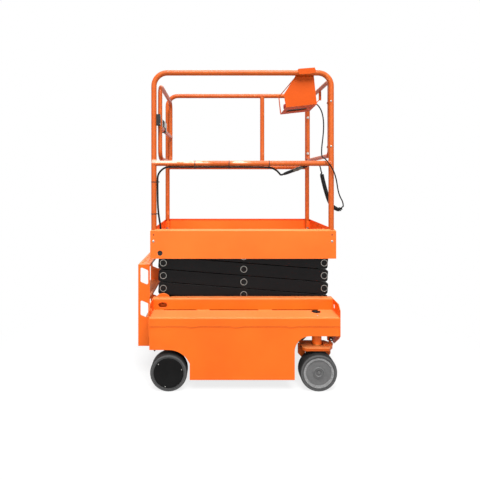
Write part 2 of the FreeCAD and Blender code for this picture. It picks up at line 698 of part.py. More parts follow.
barrel_end = d.ram_length - d.ram_stroke_left
barrel = new_body("cylinder_barrel")
ram_turned(barrel, [
    (as_size(24), as_size(0)), (as_size(34), as_size(0)), (as_size(34), d.ram_bore),
    (barrel_end - 16, d.ram_bore), (barrel_end - 16, d.rod_radius + 0.3),
    (barrel_end, d.rod_radius + 0.3), (barrel_end, d.ram_radius + 3),
    (barrel_end - 26, d.ram_radius + 3), (barrel_end - 26, d.ram_radius),
    (as_size(24), d.ram_radius)])
across(barrel, as_size(-26), as_size(26), [], [(as_size(0), as_size(0), as_size(26))])
across(barrel, as_size(-44), as_size(44), [], [(as_size(0), as_size(0), d.ram_pin)])
place_ram(barrel)
nodes.append(barrel)
rod = new_body("cylinder_rod")
ram_turned(rod, [
    (as_size(150), as_size(0)), (d.ram_length - 18, as_size(0)),
    (d.ram_length - 18, d.rod_radius), (as_size(170), d.rod_radius),
    (as_size(170), d.ram_bore - 0.3), (as_size(150), d.ram_bore - 0.3)])
across(rod, as_size(-22), as_size(22), [], [(d.ram_length, as_size(0), as_size(24))])
across(rod, d.rod_end_gap - 30, 30 - d.rod_end_gap, [], [(d.ram_length, as_size(0), as_size(11))])
place_ram(rod)
nodes.append(rod)

# Front knuckles: a top plate under the kingpin sleeve, an inner leg with the stub axle,
# and a steering arm that reaches forward to the tie rod.
wheel_in = d.track_half - d.tyre_width
leg_out = wheel_in - d.wheel_gap
leg_plate = 12
plate_out = leg_out + d.wheel_gap + d.bridge_half
tie_x = kingpin_x + d.steer_arm
for name, side in SIDES:
    knuckle = new_body("knuckle_" + name)
    pin_y = side * kingpin_out
    plate_low = d.knuckle_top - d.knuckle_plate
    upward(knuckle, plate_low, d.knuckle_top, [[
        (kingpin_x - 101, side * (leg_out - 50)), (kingpin_x + 64, side * (leg_out - 50)),
        (kingpin_x + 97, side * (leg_out - 20)), (kingpin_x + 97, side * (leg_out + 30)),
        (kingpin_x + 64, side * plate_out), (kingpin_x - 82, side * plate_out),
        (kingpin_x - 101, side * (plate_out - 20))]])
    soften(knuckle, d.knuckle_corner, lambda edge: runs_along(edge, "z"))
    cut(knuckle, "XY", d.knuckle_top + 1, d.knuckle_plate + 2, [], [
        (kingpin_x - 92, side * (leg_out + 38), as_size(5))])
    upward(knuckle, d.knuckle_top - 1, bridge_top, [], [(kingpin_x, pin_y, d.kingpin_radius)])
    side_plate(knuckle, side, leg_out - leg_plate, as_size(leg_plate), [[
        (d.front_axle_ahead + 45, d.wheel_radius, d.front_axle_ahead, d.wheel_radius, -1),
        (d.front_axle_ahead - 45, d.wheel_radius),
        (d.front_axle_ahead - 70, d.knuckle_top - 1), (d.front_axle_ahead + 70, d.knuckle_top - 1),
    ]])
    side_plate(knuckle, side, leg_out - 1, d.tyre_width - 20, [], [
        (d.front_axle_ahead, d.wheel_radius, d.hub_bore)])
    arm_top = d.knuckle_top + leg_plate
    upward(knuckle, d.knuckle_top - 1, arm_top, [[
        (kingpin_x + 40, pin_y - d.steer_arm_half),
        (tie_x, pin_y - d.steer_arm_half, tie_x, pin_y, 1),
        (tie_x, pin_y + d.steer_arm_half), (kingpin_x + 40, pin_y + d.steer_arm_half)]])
    upward(knuckle, arm_top - 1, d.tie_high + d.steer_pin, [], [(tie_x, pin_y, d.steer_pin)])
    nodes.append(knuckle)

# Tie rod with an eye over each steering arm's pin. The left one is the open pivot.
tie = new_body("tie_rod")
eye_half = d.tie_rod_radius + 3
for name, side in SIDES:
    fit = d.run_fit if side < 0 else d.open_fit
    upward(tie, d.tie_high - eye_half, d.tie_high + eye_half, [], [
        (tie_x, side * kingpin_out, d.steer_arm_half),
        (tie_x, side * kingpin_out, d.steer_pin + fit)])
rod_half = kingpin_out - d.steer_arm_half + 4
across(tie, -rod_half, rod_half, [], [(tie_x, d.tie_high, d.tie_rod_radius)])
nodes.append(tie)

# Wheels: a solid tyre with rounded shoulders round a hub that turns on its stub axle. The
# front hubs are dished, with a raised boss round a small recess.
for end, axle_x in (("rear", -d.rear_axle_back), ("front", d.front_axle_ahead)):
    for name, side in SIDES:
        outer_y, inner_y = side * d.track_half, side * (d.track_half - d.tyre_width)
        seat = d.wheel_radius - d.tyre_depth
        curve = side * d.shoulder
        tyre = new_body("tyre_%s_%s" % (end, name))
        spin(tyre, [
            (seat, inner_y + side * 2),
            (d.wheel_radius - d.shoulder, inner_y,
             d.wheel_radius - d.shoulder, inner_y + curve, side),
            (d.wheel_radius, inner_y + curve),
            (d.wheel_radius, outer_y - curve, d.wheel_radius - d.shoulder, outer_y - curve, side),
            (d.wheel_radius - d.shoulder, outer_y), (seat, outer_y - side * 2)])
        bind_place(tyre, axle_x, as_size(0), d.wheel_radius)
        nodes.append(tyre)
        hub = new_body("hub_%s_%s" % (end, name))
        hole = d.hub_bore + d.run_fit
        hole_end = outer_y - side * 28
        rim_y = outer_y - side * d.hub_dish
        dish_y = rim_y - side * 4
        if end == "rear":
            face = [(seat, rim_y), (as_size(0), rim_y)]
        else:
            boss_y = rim_y + side
            face = [(seat, rim_y), (seat - 13, rim_y), (seat - 16, dish_y),
                    (as_size(36), dish_y), (as_size(33), boss_y), (as_size(22), boss_y),
                    (as_size(20), dish_y), (as_size(8), dish_y), (as_size(6), boss_y),
                    (as_size(0), boss_y)]
        spin(hub, [(hole, inner_y + side * 3), (seat, inner_y + side * 3)] + face + [
            (as_size(0), hole_end), (hole, hole_end)])
        bind_place(hub, axle_x, as_size(0), d.wheel_radius)
        nodes.append(hub)

# Platform frame: a rear strip with ears at the left pins, cross members clear of the
# arms' raised ends, and outriggers from the roller channels to the toe boards.
deck_out = d.track_half - d.deck_inset
deck_low = d.deck_top - d.deck_plate
inside_back, inside_front = d.toe_wall - d.deck_back, d.deck_front - d.toe_wall
inside_out = deck_out - d.toe_wall
channel_back = d.rail_bend / 4 - d.rear_post_back
channel_front = inside_front - 2
web_in = beam_out - d.plate
channel_top = level(stages) + d.roller_radius + d.seat_gap
channel_low = level(stages) - d.roller_radius - d.roller_play
platform = new_body("platform_frame")
ear_half = d.pin_radius + 7
upward(platform, deck_low - 6, deck_low, [rectangle(
    left_pin_x - ear_half, -web_in, left_pin_x + 60, web_in)])
for name, side in SIDES:
    side_plate(platform, side, beam_in, d.ear_width, [[
        (left_pin_x - ear_half, level(stages), left_pin_x, level(stages), 1),
        (left_pin_x + ear_half, level(stages)), (left_pin_x + 60, deck_low - 1),
        (left_pin_x - ear_half, deck_low - 1),
    ]], [(left_pin_x, level(stages), d.pin_radius + d.run_fit)])
for middle in (-200, -50, 100):
    upward(platform, deck_low - d.member_depth, deck_low, [rectangle(
        middle - d.member_half, -web_in, middle + d.member_half, web_in)])
for middle in (-400, 58, 500):
    for name, side in SIDES:
        upward(platform, deck_low - d.member_depth, deck_low, [rectangle(
            middle - d.outrigger_half, side * beam_out,
            middle + d.outrigger_half, side * inside_out)])
nodes.append(platform)

# Roller channels under the deck, where the upper rollers run between two flanges.
for name, side in SIDES:
    channel = new_body("roller_channel_" + name)
    along(channel, channel_back, channel_front, [rectangle(
        side * web_in, channel_low - d.plate, side * beam_out, deck_low)])
    for flange_low in (channel_low - d.plate, channel_top):
        along(channel, d.track_start, channel_front, [rectangle(
            side * beam_in, flange_low, side * (beam_out - 1), flange_low + d.plate)])
    nodes.append(channel)

# Deck sheet, notched round the four posts and pierced for the cable.
post_out = deck_out - d.post_inset
notch_out = post_out - d.tube_radius - 7
notch_back, notch_front = 19.5 - d.rear_post_back, d.front_post_ahead - 19
cable_hole = (43.5 - d.rear_post_back, 16 - post_out)
deck = new_body("platform_deck")
upward(deck, deck_low, d.deck_top, [[
    (inside_back, -notch_out), (notch_back, -notch_out), (notch_back, -inside_out),
    (notch_front, -inside_out), (notch_front, -notch_out), (inside_front, -notch_out),
    (inside_front, notch_out), (notch_front, notch_out), (notch_front, inside_out),
    (notch_back, inside_out), (notch_back, notch_out), (inside_back, notch_out)]],
    [(cable_hole[0], cable_hole[1], as_size(9))])
nodes.append(deck)

# Toe boards: a skirt all round the deck whose top edge leans inwards, with a fold along the
# foot of each side, foot plates and brackets for the posts, and a hole over each left pin.
toe_low = d.deck_top - d.toe_drop
toe_high = d.deck_top + d.toe_rise
lean_low = toe_high - d.toe_lip
inner_lean = d.toe_lip + d.toe_wall
toe = new_body("toe_boards")
upward(toe, toe_low, lean_low, [
    rectangle(-d.deck_back, -deck_out, d.deck_front, deck_out),
    rectangle(inside_back, -inside_out, inside_front, inside_out)])
loft(toe, "Additive", "XY", (lean_low, toe_high), (
    rectangle(-d.deck_back, -deck_out, d.deck_front, deck_out),
    rectangle(d.toe_lip - d.deck_back, d.toe_lip - deck_out,
              d.deck_front - d.toe_lip, deck_out - d.toe_lip)))
loft(toe, "Subtractive", "XY", (lean_low, toe_high), (
    rectangle(inside_back, -inside_out, inside_front, inside_out),
    rectangle(inner_lean - d.deck_back, inner_lean - deck_out,
              d.deck_front - inner_lean, deck_out - inner_lean)))
# Each row: a post's x, its bracket's inner edge, and the length of its foot plate.
POSTS = ((-d.rear_post_back, inside_back, notch_back - 3.5, d.rear_foot_size, 1),
         (d.front_post_ahead, inside_front, notch_front + 11, d.foot_size, -1))
cut(toe, "XY", toe_high + 1, d.toe_lip + 1, [], [
    (post_x, side * post_out, d.tube_radius + d.seat_gap)
    for post_x, wall, edge, foot, way in POSTS for name, side in SIDES])
bracket_in = post_out - d.tube_radius - d.seat_gap - d.toe_wall
for name, side in SIDES:
    for post_x, wall, edge, foot, way in POSTS:
        upward(toe, deck_low - d.foot_plate, deck_low, [rectangle(
            wall - way, side * (inside_out - foot), wall + way * foot, side * (inside_out + 1))])
        side_plate(toe, side, bracket_in, d.toe_wall, [rectangle(
            wall - way, deck_low - 1, edge, toe_high - 15)])
    upward(toe, toe_low, toe_low + d.toe_wall, [rectangle(
        inside_back, side * (inside_out - d.toe_fold), inside_front, side * (inside_out + 1))])
cut(toe, "XZ", deck_out + 1, 2 * deck_out + 2, [], [
    (left_pin_x, level(stages) + 8, as_size(16.5)),
    (-d.rear_post_back, toe_high - 38, as_size(4.5)),
    (d.front_post_ahead, toe_high - 38, as_size(4.5))])
nodes.append(toe)

# Guardrails: one bent tube and a middle rail on each side. The far side has one more post.
rail_high = d.deck_top + d.rail_rise
mid_high = d.deck_top + d.mid_rise
for name, side in SIDES:
    y = side * post_out
    hoop = bent_tube(d.tube_radius, [
        (-d.rear_post_back, y, deck_low), (-d.rear_post_back, y, rail_high),
        (d.front_post_ahead, y, rail_high), (d.front_post_ahead, y, deck_low)], d.rail_bend)
    middle = Part.makeCylinder(
        d.tube_radius.value, (d.front_post_ahead + d.rear_post_back).value,
        FreeCAD.Vector(-d.rear_post_back.value, y.value, mid_high.value),
        FreeCAD.Vector(1, 0, 0))
    shape = hoop.fuse(middle)
    if side > 0:
        shape = shape.fuse(Part.makeCylinder(
            d.tube_radius.value, (rail_high - mid_high).value,
            FreeCAD.Vector(d.stay_ahead.value, y.value, mid_high.value)))
    nodes.append(solid_feature("guardrail_" + name, shape.removeSplitter()))


def end_frame(x, half, low, high, bend, cross):
    """A round-cornered rectangle of slim tube in a plane across the machine."""
    low, high, half, bend = [as_size(part).value for part in (low, high, half, bend)]
    x = as_size(x).value
    radius = d.slim_radius.value
    left = bent_tube(radius, [
        (x, 0, low), (x, -half, low), (x, -half, high), (x, half, high), (x, half, low),
        (x, 0, low)], bend)
    if cross is not None:
        left = left.fuse(Part.makeCylinder(
            radius, 2 * half, FreeCAD.Vector(x, -half, as_size(cross).value),
            FreeCAD.Vector(0, 1, 0)))
    return left.removeSplitter()


guard_bar_high = rail_high - d.end_drop
nodes.append(solid_feature("front_guard", end_frame(
    d.front_post_ahead, post_out - d.tube_radius - d.slim_radius - d.seat_gap,
    d.deck_top + d.end_mid_rise, guard_bar_high, d.end_bend, None)))

# Entry gate, hung on two pin hinges beside the left rear post, and swinging inwards, with
# a latch on the right rear post.
gate_x = d.gate_ahead - d.rear_post_back
gate_side = post_out - d.gate_inset
hinge_y = gate_side + d.hinge_radius
hinge_heights = [d.deck_top + d.hinge_low_rise + d.hinge_pitch * step for step in range(2)]
gate = end_frame(gate_x, gate_side - d.slim_radius, d.deck_top + d.gate_low_rise,
                 rail_high - d.gate_drop, d.gate_bend, d.deck_top + d.gate_cross_rise)
hinge_height = d.hinge_height.value
leaf_reach = d.hinge_radius.value + d.slim_radius.value
for height in hinge_heights:
    foot = FreeCAD.Vector(gate_x.value, hinge_y.value, height.value - hinge_height / 2)
    eye = Part.makeCylinder(d.hinge_radius.value, hinge_height, foot)
    leaf = Part.makeBox(5, leaf_reach, hinge_height, foot - FreeCAD.Vector(2.5, leaf_reach, 0))
    bore = Part.makeCylinder((d.hinge_pin + d.run_fit).value, hinge_height, foot)
    gate = gate.fuse(eye).fuse(leaf).cut(bore)
nodes.append(solid_feature("entry_gate", gate))
hinges = new_body("gate_hinges")
hinge_seat = d.tube_radius + d.seat_gap - d.rear_post_back
strap = d.hinge_strap / 2
for height in hinge_heights:
    strap_top = height - d.hinge_height / 2 - d.seat_gap
    upward(hinges, strap_top - d.hinge_pin, strap_top, [[
        (hinge_seat, post_out - strap), (gate_x - strap, post_out - strap),
        (gate_x - strap, hinge_y - strap), (gate_x + strap, hinge_y - strap),
        (gate_x + strap, post_out + strap), (hinge_seat, post_out + strap)]])
    upward(hinges, strap_top - 1, height + d.hinge_height / 2 + 3, [], [
        (gate_x, hinge_y, d.hinge_pin)])
nodes.append(hinges)
latch = new_body("gate_latch")
latch_low = d.deck_top + d.latch_low_rise
upward(latch, latch_low, latch_low + d.latch_height, [rectangle(
    hinge_seat, -post_out - d.latch_depth / 2, hinge_seat + d.latch_depth,
    d.latch_depth / 2 - post_out)])
nodes.append(latch)

# Operator's control guard: a sheet that hooks over the right-hand top rail and leans to the
# rear, with a cheek inside the rail, a sloping slotted tray under the box and bent bars on
# the far side, one of them up to the front guard.
guard = new_body("control_guard")
near_in = post_out - d.tube_radius - d.seat_gap
near_out = post_out + d.tube_radius + 1
far_edge = d.guard_sheet + d.guard_reach - near_in
bar = 4


def guard_at(points):
    """Corners in X and Z from the hook's rear corner at the top of the rail."""
    return [(d.guard_ahead + ahead, rail_high + d.tube_radius + d.seat_gap + up)
            for ahead, up in points]


def square_bar(ahead, up):
    return guard_at([(ahead, up), (ahead + bar, up), (ahead + bar, up + bar), (ahead, up + bar)])


across(guard, -near_out - d.guard_sheet, -near_out, [guard_at([
    (7, -33.5), (104, -25.5), (110, -8), (103, 11), (0, 3), (-2, -18)])])
across(guard, -near_out - d.guard_sheet, d.guard_sheet - near_in, [guard_at([
    (0, 0), (103, 8), (103, 11), (0, 3)])])
across(guard, -near_in, d.guard_sheet - near_in, [guard_at([
    (0, 3), (103, 11), (108, -36), (116, -116), (127, -211), (-72, -233), (-86, -150.5),
    (-14, -36)])])
loft(guard, "Additive", "XZ", (near_in, -far_edge), (
    guard_at([(-73, -234.5), (128, -212.5), (128, -209.5), (-73, -231.5)]),
    guard_at([(-80, -249.5), (121, -227.5), (121, -224.5), (-80, -246.5)])))
cut(guard, "XY", rail_high - 180, as_size(70), [long_hole(
    d.guard_ahead + 13, far_edge - 75, as_size(136), as_size(48))])
across(guard, far_edge - bar, far_edge, [
    guard_at([(-78, -247.8), (121, -226), (121, -220), (-74.6, -241.4), (-88, -125),
              (-94, -125), (-82, -240)])])
bar_reach = d.front_post_ahead - d.guard_ahead - 6.5
for starts, ends in ((((-92, -130), -far_edge + 1), ((-12, -40), near_in - 1)),
                     (((114.5, -226.5), -far_edge + 1),
                      ((bar_reach, -132), -far_edge - 72))):
    loft(guard, "Additive", "XZ", (starts[1], ends[1]), (
        square_bar(*starts[0]), square_bar(*ends[0])))
hanger_y = far_edge + 71
across(guard, hanger_y, hanger_y + bar, [[
    (d.front_post_ahead - 8, rail_high - 118), (d.front_post_ahead + 9, rail_high - 118),
    (d.front_post_ahead + 9, guard_bar_high - d.slim_radius - d.seat_gap),
    (d.front_post_ahead - 9, guard_bar_high - d.slim_radius - d.seat_gap)]])
nodes.append(guard)
box = new_body("control_box")
loft(box, "Additive", "XZ", (near_in - d.guard_sheet - 3, -far_edge + 21), (
    guard_at([(-49, -228.9), (96, -213.2), (96, -132), (6, -87), (-49, -132)]),
    guard_at([(-49, -239.3), (96, -223.6), (96, -142), (6, -97), (-49, -142)])))
nodes.append(box)

# Cable from the chassis, out through the deck, tied inside the rear post and under the
# middle rail, that ends in the left half of the connector. Points chosen by hand.
cable_radius = 6
cable_x = cable_radius + d.seat_gap + d.tube_radius - d.rear_post_back
cable_z = mid_high - d.tube_radius - cable_radius - d.seat_gap
cable_y = -post_out
plug_line = ((311, 1350.6), (491, 1417.6))
plug_y = -281
cable = bent_tube(as_size(cable_radius), [
    (cable_hole[0], cable_hole[1], deck_low - 14), (cable_hole[0], cable_hole[1], 985),
    (cable_x + 2, cable_y, 1120), (cable_x, cable_y, 1260),
    (cable_x, cable_y + 1, cable_z - 45), (cable_x + 45, cable_y, cable_z),
    (-300, cable_y, cable_z), (-90, cable_y - 1, cable_z),
    (110, cable_y, cable_z), (225, cable_y + 3, cable_z - 2), (268, -290, cable_z - 25),
    (290.4, plug_y, 1342.9), (plug_line[0][0], plug_y, plug_line[0][1])])
nodes.append(solid_feature("platform_cable", cable))

# Two-part connector lying along a slope inside the middle rail. Its outline from the left:
# sleeve, two collars of the body, and the right-hand sleeve that tapers to the lead.
rise = math.degrees(math.atan2(plug_line[1][1] - plug_line[0][1],
                               plug_line[1][0] - plug_line[0][0]))
plug = new_body("cable_connector")
spin(plug, [
    (as_size(0.2), as_size(0)), (as_size(191.8), as_size(0)), (as_size(191.8), as_size(6)),
    (as_size(172), as_size(8)), (as_size(128), as_size(9.5)), (as_size(128), as_size(11)),
    (as_size(62), as_size(11)), (as_size(62), as_size(9)), (as_size(20), as_size(9)),
    (as_size(0.2), as_size(7))], axis="H_Axis")
plug.Placement = FreeCAD.Placement(
    FreeCAD.Vector(plug_line[0][0], plug_y, plug_line[0][1]),
    FreeCAD.Rotation(FreeCAD.Vector(0, -1, 0), rise))
nodes.append(plug)

# Free control lead: out of the box, over the middle rail, and back up in a curly length
# inside the post to the connector. Points chosen by hand.
LEAD_RADIUS = 4
UPPER_LEAD = [
    (492, -235, 1822), (516, -235, 1822), (543, -238, 1806), (565, -243, 1768),
    (575, -250, 1714), (575, -258, 1656), (568, -267, 1596), (558, -275, 1535),
    (552, -285, 1486), (553, -299, 1454), (559, -322, 1453), (569, -342, 1434),
    (590, -349, 1404), (614, -349, 1362), (630, -346, 1308), (639, -341, 1252),
    (654, -333, 1208), (679, -316, 1175), (688, -300, 1145), (678, -288, 1124),
    (659, -282, 1120.5), (648, -281, 1127)]
CURL_RADIUS = 13.5
CURL = [(551, -279, 1373), (563, -278, 1312), (587, -277, 1225), (605, -276, 1172),
        (626, -279, 1140), (648, -281, 1127)]
LOWER_LEAD = [(491.3, -281, 1417.8), (512, -280.5, 1425.5), (531, -280, 1421),
              (545.6, -279.45, 1400.45), (551, -279, 1373)]
for label, radius, route in (("control_lead_upper", LEAD_RADIUS, UPPER_LEAD),
                             ("control_lead_curl", CURL_RADIUS, CURL),
                             ("control_lead_lower", LEAD_RADIUS, LOWER_LEAD)):
    nodes.append(solid_feature(label, bent_tube(as_size(radius), route)))

doc.recompute()
for thing in doc.Objects:
    if "Invalid" in thing.State or "Error" in thing.State:
        raise RuntimeError("%s did not build: %s" % (thing.Name, thing.State))
for node in nodes:
    shape = node.Shape
    if shape.isNull() or not shape.isValid() or not shape.Solids:
        raise RuntimeError("%s has no sound solid" % node.Label)

os.makedirs("parts", exist_ok=True)
for node in nodes:
    node.Shape.exportStep("parts/%s.step" % node.Label)
    print(node.Label, len(node.Shape.Solids), round(node.Shape.Volume / 1000))
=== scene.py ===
import math

import bpy
from mathutils import Matrix, Vector


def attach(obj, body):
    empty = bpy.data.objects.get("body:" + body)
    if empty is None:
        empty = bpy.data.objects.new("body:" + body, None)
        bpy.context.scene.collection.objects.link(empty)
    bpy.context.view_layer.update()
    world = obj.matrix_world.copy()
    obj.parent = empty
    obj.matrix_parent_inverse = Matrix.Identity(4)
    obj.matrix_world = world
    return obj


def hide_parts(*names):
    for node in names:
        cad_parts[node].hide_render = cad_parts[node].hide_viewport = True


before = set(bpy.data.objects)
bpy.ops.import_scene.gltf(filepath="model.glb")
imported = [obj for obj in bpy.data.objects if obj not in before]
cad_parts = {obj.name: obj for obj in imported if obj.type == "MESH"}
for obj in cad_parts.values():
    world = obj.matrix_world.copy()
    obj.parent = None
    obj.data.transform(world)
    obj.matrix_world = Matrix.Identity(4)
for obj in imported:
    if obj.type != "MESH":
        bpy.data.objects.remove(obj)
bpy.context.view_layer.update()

# The view: a camera at chest height on the machine's right-hand side, level and square to
# it, in front of a white backdrop. Its aim point sits off the middle of the picture, which
# a lens shift gives. Big soft lamps light it evenly, and the floor keeps a soft shadow.
PICTURE_SIDE = 480
FOCAL_PIXELS = 359
AIM_PIXEL = (218.2, 181.6)
SENSOR_MM = 36
EYE = (-0.1135, -2.60, 1.3016)

camera_data = bpy.data.cameras.new("side_view")
camera_data.sensor_width = SENSOR_MM
camera_data.lens = FOCAL_PIXELS / PICTURE_SIDE * SENSOR_MM
camera_data.shift_x = (PICTURE_SIDE / 2 - AIM_PIXEL[0]) / PICTURE_SIDE
camera_data.shift_y = (AIM_PIXEL[1] - PICTURE_SIDE / 2) / PICTURE_SIDE
camera = bpy.data.objects.new("side_view", camera_data)
camera.location = EYE
camera.rotation_euler = (math.pi / 2, 0, 0)
bpy.context.scene.collection.objects.link(camera)
bpy.context.scene.camera = camera
bpy.context.scene.view_settings.view_transform = "Standard"

# Each lamp: name, place, width, power in watts. All of them point at the platform's foot.
LAMPS = (
    ("top_panel", (0.1, -3.96, 7.02), 3.9, 780),
    ("key_panel", (1.1, -3.8, 1.9), 2.2, 24),
    ("fill_panel", (-1.5, -3.6, 1.7), 2.0, 24),
    ("rear_panel", (0.2, 4.68, 6.84), 4.3, 165),
)
LAMP_AIM = Vector((0, 0, 0.9))
for lamp_name, lamp_place, lamp_width, lamp_power in LAMPS:
    lamp_data = bpy.data.lights.new(lamp_name, "AREA")
    lamp_data.size = lamp_width
    lamp_data.energy = lamp_power
    lamp = bpy.data.objects.new(lamp_name, lamp_data)
    lamp.location = lamp_place
    lamp.rotation_euler = (LAMP_AIM - lamp.location).to_track_quat("-Z", "Y").to_euler()
    lamp.visible_camera = False
    bpy.context.scene.collection.objects.link(lamp)


def add_node(tree, kind, inputs=(), **settings):
    """Adds a shader node, sets its options, and sets or links the sockets named in inputs."""
    node = tree.nodes.new("ShaderNode" + kind)
    for setting, value in settings.items():
        setattr(node, setting, value)
    for socket, value in dict(inputs).items():
        if isinstance(value, bpy.types.NodeSocket):
            tree.links.new(value, node.inputs[socket])
        else:
            node.inputs[socket].default_value = value
    return node


def seen_directly(tree):
    """1 where the camera, a reflection or clear material looks straight at the surface."""
    rays = add_node(tree, "LightPath").outputs
    two = add_node(tree, "Math", {0: rays["Is Camera Ray"], 1: rays["Is Glossy Ray"]},
                   operation="MAXIMUM").outputs[0]
    return add_node(tree, "Math", {0: two, 1: rays["Is Transmission Ray"]},
                    operation="MAXIMUM").outputs[0]


STUDIO_LEVEL = 0.28
world = bpy.data.worlds.new("studio")
world.use_nodes = True
bpy.context.scene.world = world
backdrop = world.node_tree.nodes["Background"]
backdrop.inputs["Color"].default_value = (1, 1, 1, 1)
world_strength = add_node(world.node_tree, "MapRange", {
    "Value": seen_directly(world.node_tree), "To Min": STUDIO_LEVEL, "To Max": 1.0})
world.node_tree.links.new(world_strength.outputs[0], backdrop.inputs["Strength"])

FLOOR_HALF = 30
FLOOR_NEAR, FLOOR_FAR = 0.9, 2.0
NEAR_WHITE = 0.8
FLOOR_BOUNCE = (0.3, 0.3, 0.3, 1)
floor_mesh = bpy.data.meshes.new("floor")
floor_mesh.from_pydata([(x * FLOOR_HALF, y * FLOOR_HALF, 0) for x, y in
                        ((-1, -1), (1, -1), (1, 1), (-1, 1))], [], [(0, 1, 2, 3)])
floor = bpy.data.objects.new("floor", floor_mesh)
bpy.context.scene.collection.objects.link(floor)
floor_finish = bpy.data.materials.new("pale_floor")
floor_finish.use_nodes = True
tree = floor_finish.node_tree
floor_shader = tree.nodes["Principled BSDF"]
floor_shader.inputs["Roughness"].default_value = 0.9
floor_shader.inputs["Specular IOR Level"].default_value = 0.0
floor_place = add_node(tree, "TexCoord").outputs["Object"]
distance = add_node(tree, "VectorMath", {0: floor_place}, operation="LENGTH").outputs["Value"]
fade = add_node(tree, "MapRange", {"Value": distance, "From Min": FLOOR_NEAR,
                                   "From Max": FLOOR_FAR, "To Min": NEAR_WHITE},
                interpolation_type="SMOOTHSTEP")
faint = add_node(tree, "TexNoise", {"Vector": floor_place, "Scale": 6.0, "Detail": 3.0})
tint = add_node(tree, "ValToRGB", {"Fac": faint.outputs["Fac"]})
tint.color_ramp.elements[0].color = (0.90, 0.90, 0.895, 1)
tint.color_ramp.elements[1].color = (0.95, 0.95, 0.95, 1)
seen = seen_directly(tree)
floor_shade = add_node(tree, "Mix", {0: seen, 6: FLOOR_BOUNCE, 7: tint.outputs["Color"]},
                       data_type="RGBA")
tree.links.new(floor_shade.outputs[2], floor_shader.inputs["Base Color"])
white = add_node(tree, "Emission", {"Color": (1, 1, 1, 1), "Strength": 1.0})
shown_white = add_node(tree, "Math", {0: fade.outputs[0], 1: seen},
                       operation="MULTIPLY")
blend = add_node(tree, "MixShader", {0: shown_white.outputs[0], 1: floor_shader.outputs[0],
                                     2: white.outputs[0]})
tree.links.new(blend.outputs[0], tree.nodes["Material Output"].inputs["Surface"])
floor_mesh.materials.append(floor_finish)


def srgb(code):
    """A paint shade written as six hex digits, as the linear colour that shaders use."""
    parts = [int(code[i:i + 2], 16) / 255 for i in (0, 2, 4)]
    return tuple(p / 12.92 if p <= 0.04045 else ((p + 0.055) / 1.055) ** 2.4
                 for p in parts) + (1.0,)


class Finish:
    """A surface finish in the machine's own frame, so that it moves with its piece."""

    def __init__(self, name, rough, **sockets):
        self.material = bpy.data.materials.new(name)
        self.material.use_nodes = True
        self.tree = self.material.node_tree
        self.shader = self.tree.nodes["Principled BSDF"]
        self.place = self.node("TexCoord").outputs["Object"]
        self.shader.inputs["Roughness"].default_value = rough
        for socket, value in sockets.items():
            self.shader.inputs[socket.replace("_", " ")].default_value = value
        self.normal = None

    def node(self, kind, inputs=(), **settings):
        return add_node(self.tree, kind, inputs, **settings)

    def noise(self, scale, detail=2.0, stretch=None):
        place = self.place
        if stretch is not None:
            place = self.node("Mapping", {"Vector": place, "Scale": stretch}).outputs[0]
        return self.node("TexNoise", {"Vector": place, "Scale": scale,
                                      "Detail": detail}).outputs["Fac"]

    def ramp(self, value, *stops):
        """A colour that runs through the stops, each (position, hex shade)."""
        made = self.node("ValToRGB", {"Fac": value})
        elements = made.color_ramp.elements
        while len(elements) < len(stops):
            elements.new(0.5)
        for element, (position, shade) in zip(elements, stops):
            element.position = position
            element.color = srgb(shade)
        return made.outputs["Color"]

    def spread(self, value, low, high, low_in=0.3, high_in=0.7):
        return self.node("MapRange", {"Value": value, "From Min": low_in, "From Max": high_in,
                                      "To Min": low, "To Max": high}).outputs[0]

    def sum(self, first, second, operation="ADD"):
        return self.node("Math", {0: first, 1: second}, operation=operation).outputs[0]

    def mix(self, share, first, second):
        """The first shade, turned into the second by a share from 0 to 1."""
        return self.node("Mix", {0: share, 6: first, 7: second}, data_type="RGBA").outputs[2]

    def facing(self, axis):
        """How squarely the surface looks along one axis of the machine."""
        looks = self.node("TexCoord").outputs["Normal"]
        return self.node("SeparateXYZ", {"Vector": looks}).outputs[axis]

    def radius_about(self, centre_x, centre_z):
        """Distance from an axle, which runs across the machine."""
        moved = self.node("VectorMath", {0: self.place, 1: (-centre_x, 0, -centre_z)},
                          operation="ADD").outputs["Vector"]
        flat = self.node("VectorMath", {0: moved, 1: (1, 0, 1)},
                         operation="MULTIPLY").outputs["Vector"]
        return self.node("VectorMath", {0: flat}, operation="LENGTH").outputs["Value"]

    def soften_edges(self, radius):
        """Turns the light round each edge as a small radius would, and returns a mask of it."""
        eased = self.node("Bevel", {"Radius": radius}, samples=4).outputs[0]
        self.normal = eased
        self.tree.links.new(eased, self.shader.inputs["Normal"])
        flat = self.node("NewGeometry").outputs["Normal"]
        turned_by = self.node("VectorMath", {0: eased, 1: flat}, operation="DOT_PRODUCT")
        return self.spread(turned_by.outputs["Value"], 0, 1, 0.995, 0.93)

    def bump(self, height, depth, strength=1.0):
        inputs = {"Height": height, "Distance": depth, "Strength": strength}
        if self.normal is not None:
            inputs["Normal"] = self.normal
        self.normal = self.node("Bump", inputs).outputs[0]
        self.tree.links.new(self.normal, self.shader.inputs["Normal"])

    def set(self, socket, value):
        self.tree.links.new(value, self.shader.inputs[socket])


def dress(finish, *names):
    """Gives CAD nodes their finish."""
    for node_name in names:
        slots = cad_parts[node_name].data.materials
        slots.clear()
        slots.append(finish.material)


